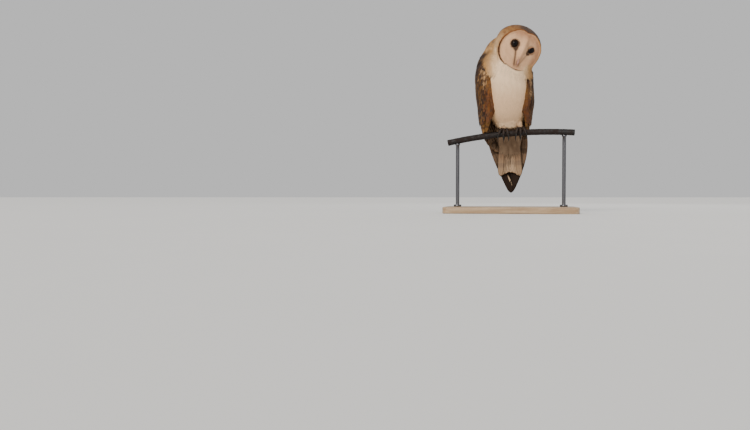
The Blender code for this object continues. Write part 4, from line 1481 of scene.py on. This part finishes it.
def mottled_material(name, first, second, scale, rough, relief, stretch=(1, 1, 1),
                     span=(0.35, 0.65), tinted=False, **constants):
    """Two colours divided by mottling, which also sets the roughness and a fine relief. A tinted
    one is multiplied by the piece's own tint."""
    material, tree, shader = new_material(name, **constants)
    out = use_group(tree, grain_group(), Place=place(tree, stretch), Scale=scale, Low=span[0],
                    High=span[1])
    colour = blend(tree, out["Mask"], rgba(first), rgba(second))
    if tinted:
        colour = blend(tree, 1.0, colour, attribute(tree, "tint")["Color"], "MULTIPLY")
    finish(tree, shader, colour, out["Mask"], rough, out["Height"], 0.5, relief)
    return material


# ---- settings


def colour(name, description, default):
    return FloatVectorProperty(name=name, description=description, subtype="COLOR", size=3,
                               min=0.0, max=1.0, default=default)


def length(name, description, default):
    return amount(name, description, default, subtype="DISTANCE", unit="LENGTH")


def number(name, description, default):
    return IntProperty(name=name, description=description, min=1, default=default)


def amount(name, description, default, **more):
    return FloatProperty(name=name, description=description, min=0.0, default=default, **more)


class OwlPlumageSettings(bpy.types.PropertyGroup):
    """Colours of the plumage, and how many feathers each part of the coat has."""

    white: colour("White", "Breast and legs", (0.93, 0.675, 0.43))
    buff: colour("Buff", "Belly", (0.72, 0.46, 0.27))
    gold: colour("Gold", "Neck, crown and wings", (0.42, 0.205, 0.055))
    pale_gold: colour("Pale gold", "Light streaks in the gold", (0.56, 0.33, 0.15))
    grey: colour("Grey", "Veil over the crown and back", (0.075, 0.055, 0.050))
    rufous: colour("Rufous", "Brow and front edge of the wings", (0.26, 0.085, 0.022))
    face: colour("Face", "Facial disc", (0.83, 0.515, 0.30))
    blush: colour("Blush", "Darker parts of the facial disc", (0.48, 0.245, 0.130))
    lore: colour("Lore", "Streak from each eye to the bill", (0.05, 0.025, 0.015))
    rim: colour("Rim", "Lower rim of the facial disc", (0.070, 0.025, 0.012))
    tawny: colour("Tawny", "Wings", (0.060, 0.023, 0.0065))
    umber: colour("Umber", "Bars and dark ends of the long feathers", (0.018, 0.0095, 0.006))
    tail: colour("Tail", "Underside of the tail", (0.30, 0.19, 0.115))
    coat_depth: length("Coat depth", "How far the skin lies under the feathers' tips", 0.003)
    face_feathers: number("Face feathers", "Feathers on the facial disc", 12000)
    head_feathers: number("Head feathers", "Feathers on the head, nape and neck", 12000)
    breast_feathers: number("Breast feathers", "Feathers on the breast", 12000)
    belly_feathers: number("Belly feathers", "Feathers on the belly", 12000)
    shoulder_feathers: number("Shoulder feathers", "Feathers from the neck on to the wings", 4000)
    back_feathers: number("Back feathers", "Feathers on the mantle and rump", 5000)


class OwlBareSettings(bpy.types.PropertyGroup):
    """Colours of the eyes, bill, toes and claws."""

    pupil: colour("Pupil", "Middle of the eye", (0.004, 0.003, 0.003))
    iris: colour("Iris", "Very dark brown ring of the eye", (0.018, 0.009, 0.005))
    bill: colour("Bill", "Horn of the bill", (0.42, 0.215, 0.150))
    bill_shade: colour("Bill shade", "Darker streaks in the bill", (0.25, 0.120, 0.085))
    toe: colour("Toe", "Scales of the toes", (0.014, 0.0085, 0.0062))
    toe_pale: colour("Pale toe", "Worn edges of the scales", (0.032, 0.020, 0.015))
    claw: colour("Claw", "Horn of the claws", (0.007, 0.0058, 0.005))
    claw_pale: colour("Pale claw", "Roots of the claws", (0.026, 0.020, 0.017))


class OwlStandSettings(bpy.types.PropertyGroup):
    """Colours of the bar and the stand."""

    iron: colour("Iron", "Old iron of the bar", (0.0050, 0.0046, 0.0052))
    rust: colour("Rust", "Rust on the bar", (0.0145, 0.0070, 0.0050))
    wood: colour("Wood", "Light grain of the base", (0.46, 0.33, 0.20))
    wood_dark: colour("Dark wood", "Dark grain of the base", (0.30, 0.19, 0.10))
    steel: colour("Steel", "Rods", (0.16, 0.16, 0.17))
    steel_dark: colour("Dark steel", "Brush marks on the rods", (0.09, 0.09, 0.10))


class OwlStageSettings(bpy.types.PropertyGroup):
    """Floor, light and camera."""

    floor: colour("Floor", "Plain floor", (0.80, 0.80, 0.79))
    sky: colour("Backdrop", "Plain backdrop", (0.80, 0.80, 0.80))
    sky_strength: amount("Backdrop strength", "Light of the backdrop", 0.80)
    key_strength: amount("Key light", "Strength of the wide key light", 2.9)
    key_colour: colour("Key colour", "Warm white of the key light", (1.0, 0.94, 0.86))
    key_angle: amount("Key size", "Angle that the key light fills", math.radians(24.0),
                      subtype="ANGLE", unit="ROTATION")
    fill_power: amount("Fill light", "Power of the fill and back lights", 5.0, subtype="POWER",
                       unit="POWER")
    camera_distance: length("Camera distance", "How far the camera stands in front", 1.6)
    camera_height: length("Camera height", "How high the camera stands over the floor", 0.035)
    focal_length: FloatProperty(name="Focal length", description="Focal length of the lens",
                                subtype="DISTANCE_CAMERA", min=1.0, default=34.9)


def palette_of(settings):
    """Every colour of a group of settings, by its name."""
    values = {key: np.array(getattr(settings, key)) for key in settings.__annotations__}
    return SimpleNamespace(**{key: value for key, value in values.items() if value.shape == (3,)})


# ---- operators


def under_wing(points):
    """1 well under a folded wing, where no feathers of the body show."""
    top = by_side(points, WING_TOP)
    turn, height = body_side(points), points[..., 2]
    rear = wing_rear((height - WING_BOTTOM) / (top - WING_BOTTOM))
    band = smooth(-34, -28, turn) * smooth(rear - 9, rear - 17, turn)
    return band * smooth(0.020, 0.030, height) * smooth(top - 0.020, top - 0.028, height)


def shoulder_level(points):
    """How far a point lies over the top of the wing on its side."""
    return points[..., 2] - by_side(points, WING_TOP)


def shoulder_rise(points):
    """Height over the body of the feathers that run from the neck on to the wing: none above the
    wing's top, and past the wing's own thickness below it."""
    turn = body_side(points)
    window = smooth(-62, -34, turn) * smooth(46, 12, turn)
    fall = smooth(0.012, -0.022, shoulder_level(points))
    thick = WING_THICKNESS * (1 - by_side(points, WING_SLIM))
    return (thick + 2 * WING_CLEARANCE) * fall * window


def shoulder_share(points):
    """1 where the shoulder's feathers grow, lowest at the front, over the wing's edge."""
    level = shoulder_level(points)
    turn = body_side(points)
    window = smooth(-66, -56, turn) * smooth(50, 38, turn)
    lowest = -0.018 - 0.026 * smooth(-30, -50, turn)
    lowest = lowest * by_side(points, {-1: 1.0, 1: 0.25})
    return window * smooth(0.018, 0.010, level) * smooth(lowest - 0.006, lowest + 0.002, level)


def shoulder_markings(points, palette):
    """Colour of the shoulder: gold from the neck, cream towards the breast, grey-brown outside, and
    the back's own colours behind."""
    turn, level = body_side(points), shoulder_level(points)
    coarse, fine = ripple(points, 0.011, 3), ripple(points, 0.0045, 4)
    gold = mix(palette.gold, palette.pale_gold, 0.55 + 0.4 * coarse)
    tint = mix(gold, palette.white, 0.85 * smooth(-42, -60, turn + 3 * coarse))
    dark = mix(palette.umber, palette.grey, 0.06 + 0.12 * fine)
    veil = smooth(-44, -22, turn + 5 * coarse) * smooth(0.010, -0.006, level + 0.003 * coarse)
    tint = mix(tint, dark, 0.92 * veil)
    return mix(tint, markings(points, palette), smooth(-4, 24, turn + 4 * fine))


def lid_markings(points, side, palette):
    """Colour of the lids: nearly black along their edge, and the face's own colour round it."""
    x, _, z = split(head_local(points))
    x, z = x - side * EYE_SIDE, z - EYE_Z
    past = np.hypot(x, z) - lid_edge(side, np.arctan2(z, x))
    edge = palette.lore * 0.2
    feathered = mix(palette.face, palette.blush, 0.8)
    veil = mix(feathered, edge, 0.92 if side < 0 else 0.30)
    return mix(edge, veil, smooth(0.0004, 0.0014, past))


def bare_face(points):
    """True away from the eyes and the bill."""
    x, y, z = split(head_local(points))
    eye = eye_distance(x, z)
    bill = (np.abs(x) < 0.0026) & (z < BILL_ROOT[2] - 0.008) & (z > BILL_TIP[2])
    return (eye > EYE_RADIUS * 0.92) & ~bill & (y < 0.006)


def face_size(points):
    """Face feathers are shortest beside the eyes."""
    x, _, z = split(head_local(points))
    eye = eye_distance(x, z)
    long = 0.0026 + 0.0030 * smooth(0.0080, 0.0180, eye)
    return long, 0.00034 + 0.026 * long


def plain_size(long, half):
    """A size function: one length and half-width for all points, broader at the neck's crease."""
    def size(points):
        crease = neck_crease(points)
        return long * (1 - 0.20 * crease), half * (1 + 0.15 * crease)
    return size


class OWL_OT_skin(bpy.types.Operator):
    """One skin over head, neck, body, folded arms and legs, with the lids round the eyes"""

    bl_idname = "owl.build_skin"
    bl_label = "Skin"

    def execute(self, context):
        settings = context.scene.owl_plumage
        palette = palette_of(settings)
        body, *arms = skin_shells(settings.coat_depth)
        legs, lids = leg_shells(), lid_shells()
        tints = [markings(body[0], palette)]
        for side, arm in zip((-1, 1), arms):
            rise = (arm[0][:, 2] - WING_BOTTOM) / wing_height(side)
            tints.append(wing_markings(arm[0], rise, 0.5 + 0 * rise, palette))
        tints += [np.broadcast_to(palette.white, leg[0].shape) for leg in legs]
        tints += [lid_markings(lid[0], side, palette) for side, lid in zip((-1, 1), lids)]
        mesh = fill_mesh("owl_skin", *merge([body, *arms, *legs, *lids]),
                         attributes={"tint": np.concatenate(tints)})
        new_object(mesh, skin_material("Downy skin"),
                   ("head", "facial_disc", "neck", "trunk", "leg_left", "leg_right", "wing_left",
                    "wing_right"))
        return {"FINISHED"}


class OWL_OT_face(bpy.types.Operator):
    """Fine feathers of the facial disc, and the stiff ruff round it"""

    bl_idname = "owl.build_face"
    bl_label = "Face and ruff"

    def execute(self, context):
        settings = context.scene.owl_plumage
        palette = palette_of(settings)
        chart = coat_map()
        local = head_local(chart[2])
        weight = disc_mask(local) * (disc_radius(local) < 0.985)
        mesh = body_coat("face_coat", chart, weight, settings.face_feathers, face_size, palette,
                         SEED, SHORT, depth=0.0010, keep=bare_face, ruffle=0.00006, stray=0.12,
                         thick=0.00003, uneven=0.04, sink=0.0001, cup=0.05)
        material = feather_material("Face feathers", palette.lore, 0.10, 4.0)
        new_object(mesh, material)
        material = feather_material("Ruff feathers", palette.rim, 0.35, 6.0)
        new_object(ruff("ruff", palette, SEED + 1), material)
        return {"FINISHED"}


class OWL_OT_body_coat(bpy.types.Operator):
    """Feathers of head, neck, breast, belly, back, shoulders, skirt and legs"""

    bl_idname = "owl.build_body_coat"
    bl_label = "Body feathers"

    def execute(self, context):
        settings = context.scene.owl_plumage
        palette = palette_of(settings)
        chart = coat_map()
        middle = chart[2]
        local = head_local(middle)
        head, front = smooth(-0.066, -0.052, local[..., 2]), smooth(40, 15, body_side(middle))
        open_body = (1 - head) * (1 - under_wing(middle))
        denser = 1 + 0.8 * neck_crease(middle)
        high = smooth(0.085, 0.095, middle[..., 2])
        soft = feather_material("Soft feathers", palette.grey, 0.12, 7.0)
        veiled = feather_material("Head feathers", palette.grey, 0.30, 6.0, tip=0.10,
                                  tip_colour=palette.grey)
        outside = head * (1 - disc_mask(local) * (disc_radius(local) < 0.99)) * denser
        short = {"form": SHORT, "thick": 0.00009, "cup": 0.05, "sink": 0.0001}
        long = {"form": MIDDLE, "thick": 0.00010}
        # name, weight, length, half-width, seed, material, slot, options
        coats = (
            ("head", outside, 0.0095, 0.00090, 2, veiled, "feather_gold",
             dict(short, depth=0.0014, uneven=0.12, ruffle=0.00010, specked=0.05)),
            ("breast", open_body * front * high * denser, 0.0140, 0.00120, 3, soft,
             "feather_white", dict(short, depth=0.0015, uneven=0.05, ruffle=0.00010, specked=0.01)),
            ("belly", open_body * front * (1 - high), 0.0150, 0.00130, 4, soft, "feather_white",
             dict(short, depth=0.0018, uneven=0.06, ruffle=0.00018, specked=0.03)),
            ("back", open_body * (1 - front), 0.0150, 0.0022, 5, veiled, "feather_gold",
             dict(long, uneven=0.16, specked=0.30)),
            ("shoulder", shoulder_share(middle) * denser, 0.0130, 0.00120, 8, veiled,
             "feather_gold", dict(long, depth=0.0016, uneven=0.12, ruffle=0.0002, specked=0.04,
                                  cup=0.06, over=shoulder_rise, paint=shoulder_markings)),
        )
        for part, weight, length, half, seed, material, slot, options in coats:
            mesh = body_coat(f"{part}_coat", chart, weight, getattr(settings, f"{part}_feathers"),
                             plain_size(length, half), palette, SEED + seed, **options)
            new_object(mesh, material)
        new_object(skirt("skirt_coat", palette, SEED + 6), soft)
        new_object(leg_coat("leg_coat", palette, SEED + 7), soft)
        return {"FINISHED"}


class OWL_OT_wings(bpy.types.Operator):
    """Coverts, secondaries and long feathers of both folded wings"""

    bl_idname = "owl.build_wings"
    bl_label = "Wings"

    def execute(self, context):
        palette = palette_of(context.scene.owl_plumage)
        covert = feather_material("Covert feathers", palette.umber, 0.45, 10.0, bars=2.5,
                                  bar_depth=0.25, tip=0.25, tip_colour=palette.grey)
        flight = feather_material("Flight feathers", palette.umber, 0.6, 60.0, bars=5.0,
                                  bar_depth=0.55, spot_place=0.85,
                                  spot_colour=palette.white * 0.45)
        for word, side in SIDES:
            seed = SEED + 10 + side
            mesh = wing_coverts(f"coverts_{word}", side, palette, seed)
            new_object(mesh, covert)
            mesh = secondaries(f"secondaries_{word}", side, palette, seed + 4)
            new_object(mesh, flight)
            mesh = primaries(f"long_feathers_{word}", side, palette, seed + 8)
            new_object(mesh, flight, (f"primaries_{word}",))
        return {"FINISHED"}


class OWL_OT_tail(bpy.types.Operator):
    """Tail feathers in a narrow fan, with soft coverts over their roots"""

    bl_idname = "owl.build_tail"
    bl_label = "Tail"

    def execute(self, context):
        palette = palette_of(context.scene.owl_plumage)
        barred = feather_material("Tail feathers", palette.grey, 0.35, 60.0, bars=4.0,
                                  bar_depth=0.30)
        mesh = rectrices("tail_feathers", palette, SEED + 30)
        new_object(mesh, barred, ("tail",))
        soft = feather_material("Tail coverts", palette.grey, 0.10, 8.0)
        new_object(tail_coverts("tail_coverts", palette, SEED + 31), soft)
        return {"FINISHED"}


class OWL_OT_eyes(bpy.types.Operator):
    """Two dark, wet eyes"""

    bl_idname = "owl.build_eyes"
    bl_label = "Eyes"

    def execute(self, context):
        settings = context.scene.owl_bare
        wet = mottled_material("Wet eye", (1.0, 1.0, 1.0), (0.55, 0.50, 0.45), 900.0,
                               (0.03, 0.06), 0.0, tinted=True, IOR=1.22)
        for word, side in SIDES:
            points, loops, totals = eye_shell(side)
            x, _, z = split(head_local(points))
            off = eye_distance(x, z)
            tint = mix(np.array(settings.pupil), settings.iris, smooth(0.0040, 0.0052, off))
            mesh = fill_mesh(f"eyeball_{word}", points, loops, totals, attributes={"tint": tint})
            new_object(mesh, wet, (f"eye_{word}",))
        return {"FINISHED"}


class OWL_OT_bill(bpy.types.Operator):
    """Hooked upper bill over the lower one"""

    bl_idname = "owl.build_bill"
    bl_label = "Bill"

    def execute(self, context):
        settings = context.scene.owl_bare
        points, loops, totals = merge(bill_shells())
        local = head_local(points)
        share = np.clip((BILL_ROOT[2] - local[:, 2]) / (BILL_ROOT[2] - BILL_TIP[2]), 0, 1)
        tint = mix(1.0, (0.72, 0.62, 0.55), smooth(0.80, 1.0, share))
        mesh = fill_mesh("bill_horn", points, loops, totals, attributes={"tint": tint})
        horn = mottled_material("Bill horn", settings.bill, settings.bill_shade, 260.0,
                                (0.30, 0.45), 0.0001, stretch=(2.5, 2.5, 0.6), tinted=True,
                                Coat_Weight=0.25, Coat_Roughness=0.3)
        new_object(mesh, horn, ("bill",))
        return {"FINISHED"}


class OWL_OT_feet(bpy.types.Operator):
    """Scaly toes and curved claws that hold the bar"""

    bl_idname = "owl.build_feet"
    bl_label = "Feet"

    def execute(self, context):
        settings = context.scene.owl_bare
        toes, claws = foot_shells()
        mesh = fill_mesh("toes", *merge(toes))
        scaly = mottled_material("Scaly skin", settings.toe, settings.toe_pale, 520.0,
                                 (0.50, 0.75), 0.0003, Specular_IOR_Level=0.25)
        new_object(mesh, scaly, ("foot_left", "foot_right"))
        mesh = fill_mesh("claws", *merge(claws))
        horn = mottled_material("Claw horn", settings.claw, settings.claw_pale, 340.0,
                                (0.34, 0.50), 0.00008, span=(0.45, 0.75), Coat_Weight=0.08,
                                Coat_Roughness=0.3, Specular_IOR_Level=0.3)
        nodes = [f"claw_{side}_{toe[0]}" for side in ("left", "right") for toe in TOES]
        new_object(mesh, horn, nodes)
        return {"FINISHED"}


class OWL_OT_bar(bpy.types.Operator):
    """Cut length of an old iron bar"""

    bl_idname = "owl.build_bar"
    bl_label = "Bar"

    def execute(self, context):
        settings = context.scene.owl_stand
        mesh = fill_mesh("iron_bar", *bar_shell())
        rusty = mottled_material("Rusty iron", settings.iron, settings.rust, 95.0,
                                 (0.48, 0.88), 0.0005, span=(0.38, 0.58), Metallic=0.25)
        new_object(mesh, rusty, ("perch",))
        return {"FINISHED"}


class OWL_OT_stand(bpy.types.Operator):
    """Wooden base and the two steel rods that carry the bar"""

    bl_idname = "owl.build_stand"
    bl_label = "Stand"

    def execute(self, context):
        settings = context.scene.owl_stand
        mesh = fill_mesh("base_board", *board_shell())
        grained = mottled_material("Satin wood", settings.wood, settings.wood_dark, 34.0,
                                   (0.34, 0.46), 0.0001, stretch=(0.35, 5.0, 5.0),
                                   Coat_Weight=0.15, Coat_Roughness=0.3)
        new_object(mesh, grained, ("stand_base",))
        mesh = fill_mesh("steel_rods", *merge(rod_shells()))
        brushed = mottled_material("Satin steel", settings.steel, settings.steel_dark, 160.0,
                                   (0.28, 0.42), 0.00002, stretch=(6.0, 6.0, 0.25),
                                   Metallic=1.0)
        new_object(mesh, brushed, ("stand_rod_left", "stand_rod_right"))
        return {"FINISHED"}


class OWL_OT_stage(bpy.types.Operator):
    """Plain floor, soft light and the camera"""

    bl_idname = "owl.build_stage"
    bl_label = "Stage"

    def execute(self, context):
        settings = context.scene.owl_stage
        scene = context.scene
        corners = FLOOR_REACH * np.array(((-1, -1, 0), (1, -1, 0), (1, 1, 0), (-1, 1, 0))) - LIFT
        mesh = fill_mesh("floor", corners, np.arange(4), np.array((4,)))
        floor = add_object("floor", mesh)
        mesh.materials.append(
            mottled_material("Plain floor", settings.floor, np.array(settings.floor) * 0.985, 3.0,
                             (0.85, 0.9), 0.0))
        world = bpy.data.worlds.new("Backdrop")
        world.use_nodes = True
        background = next(node for node in world.node_tree.nodes if node.type == "BACKGROUND")
        background.inputs["Color"].default_value = rgba(settings.sky)
        background.inputs["Strength"].default_value = settings.sky_strength
        scene.world = world
        aim = Vector((0.0, 0.0, 0.25))
        lights = (
            ("key", "SUN", (-0.75, -2.1, 1.45), settings.key_angle, settings.key_strength),
            ("fill", "AREA", (1.7, -1.2, 0.9), 1.5, settings.fill_power),
            ("back", "AREA", (0.6, 1.9, 1.5), 1.2, settings.fill_power),
        )
        for name, kind, spot, size, power in lights:
            lamp = bpy.data.lights.new(name, kind)
            lamp.energy = power
            if kind == "SUN":
                lamp.angle = size
                lamp.color = settings.key_colour
            else:
                lamp.shape = "DISK"
                lamp.size = size
            light = add_object(name, lamp)
            light.location = spot
            light.rotation_euler = (aim - Vector(spot)).to_track_quat("-Z", "Y").to_euler()
        lens = bpy.data.cameras.new("camera")
        lens.lens = settings.focal_length
        lens.sensor_width = 36.0
        camera = add_object("camera", lens)
        camera.location = (0.0, -settings.camera_distance, settings.camera_height)
        camera.rotation_euler = (math.radians(CAMERA_TILT), 0.0, math.radians(CAMERA_TURN))
        scene.camera = camera
        return {"FINISHED"}


class OWL_PT_panel(bpy.types.Panel):
    """Lists the owl's operators and settings"""

    bl_idname = "OWL_PT_panel"
    bl_label = "Barn Owl"
    bl_space_type = "VIEW_3D"
    bl_region_type = "UI"
    bl_category = "Owl"

    def draw(self, context):
        layout = self.layout
        for operator in OPERATORS:
            layout.operator(operator.bl_idname)
        for key, settings in SETTINGS.items():
            box = layout.box()
            box.label(text=settings.__doc__)
            group = getattr(context.scene, key)
            for name in settings.__annotations__:
                box.prop(group, name)


OPERATORS = (OWL_OT_skin, OWL_OT_face, OWL_OT_body_coat, OWL_OT_wings, OWL_OT_tail, OWL_OT_eyes,
             OWL_OT_bill, OWL_OT_feet, OWL_OT_bar, OWL_OT_stand, OWL_OT_stage)
SETTINGS = {
    "owl_plumage": OwlPlumageSettings,
    "owl_bare": OwlBareSettings,
    "owl_stand": OwlStandSettings,
    "owl_stage": OwlStageSettings,
}


def register():
    for made in (*SETTINGS.values(), *OPERATORS, OWL_PT_panel):
        bpy.utils.register_class(made)
    for key, settings in SETTINGS.items():
        setattr(bpy.types.Scene, key, PointerProperty(type=settings))


def unregister():
    for key in SETTINGS:
        delattr(bpy.types.Scene, key)
    for made in reversed((*SETTINGS.values(), *OPERATORS, OWL_PT_panel)):
        bpy.utils.unregister_class(made)


def main():
    register()
    bpy.ops.owl.build_skin()
    bpy.ops.owl.build_face()
    bpy.ops.owl.build_body_coat()
    bpy.ops.owl.build_wings()
    bpy.ops.owl.build_tail()
    bpy.ops.owl.build_eyes()
    bpy.ops.owl.build_bill()
    bpy.ops.owl.build_feet()
    bpy.ops.owl.build_bar()
    bpy.ops.owl.build_stand()
    bpy.ops.owl.build_stage()


if __name__ == "__main__":
    main()
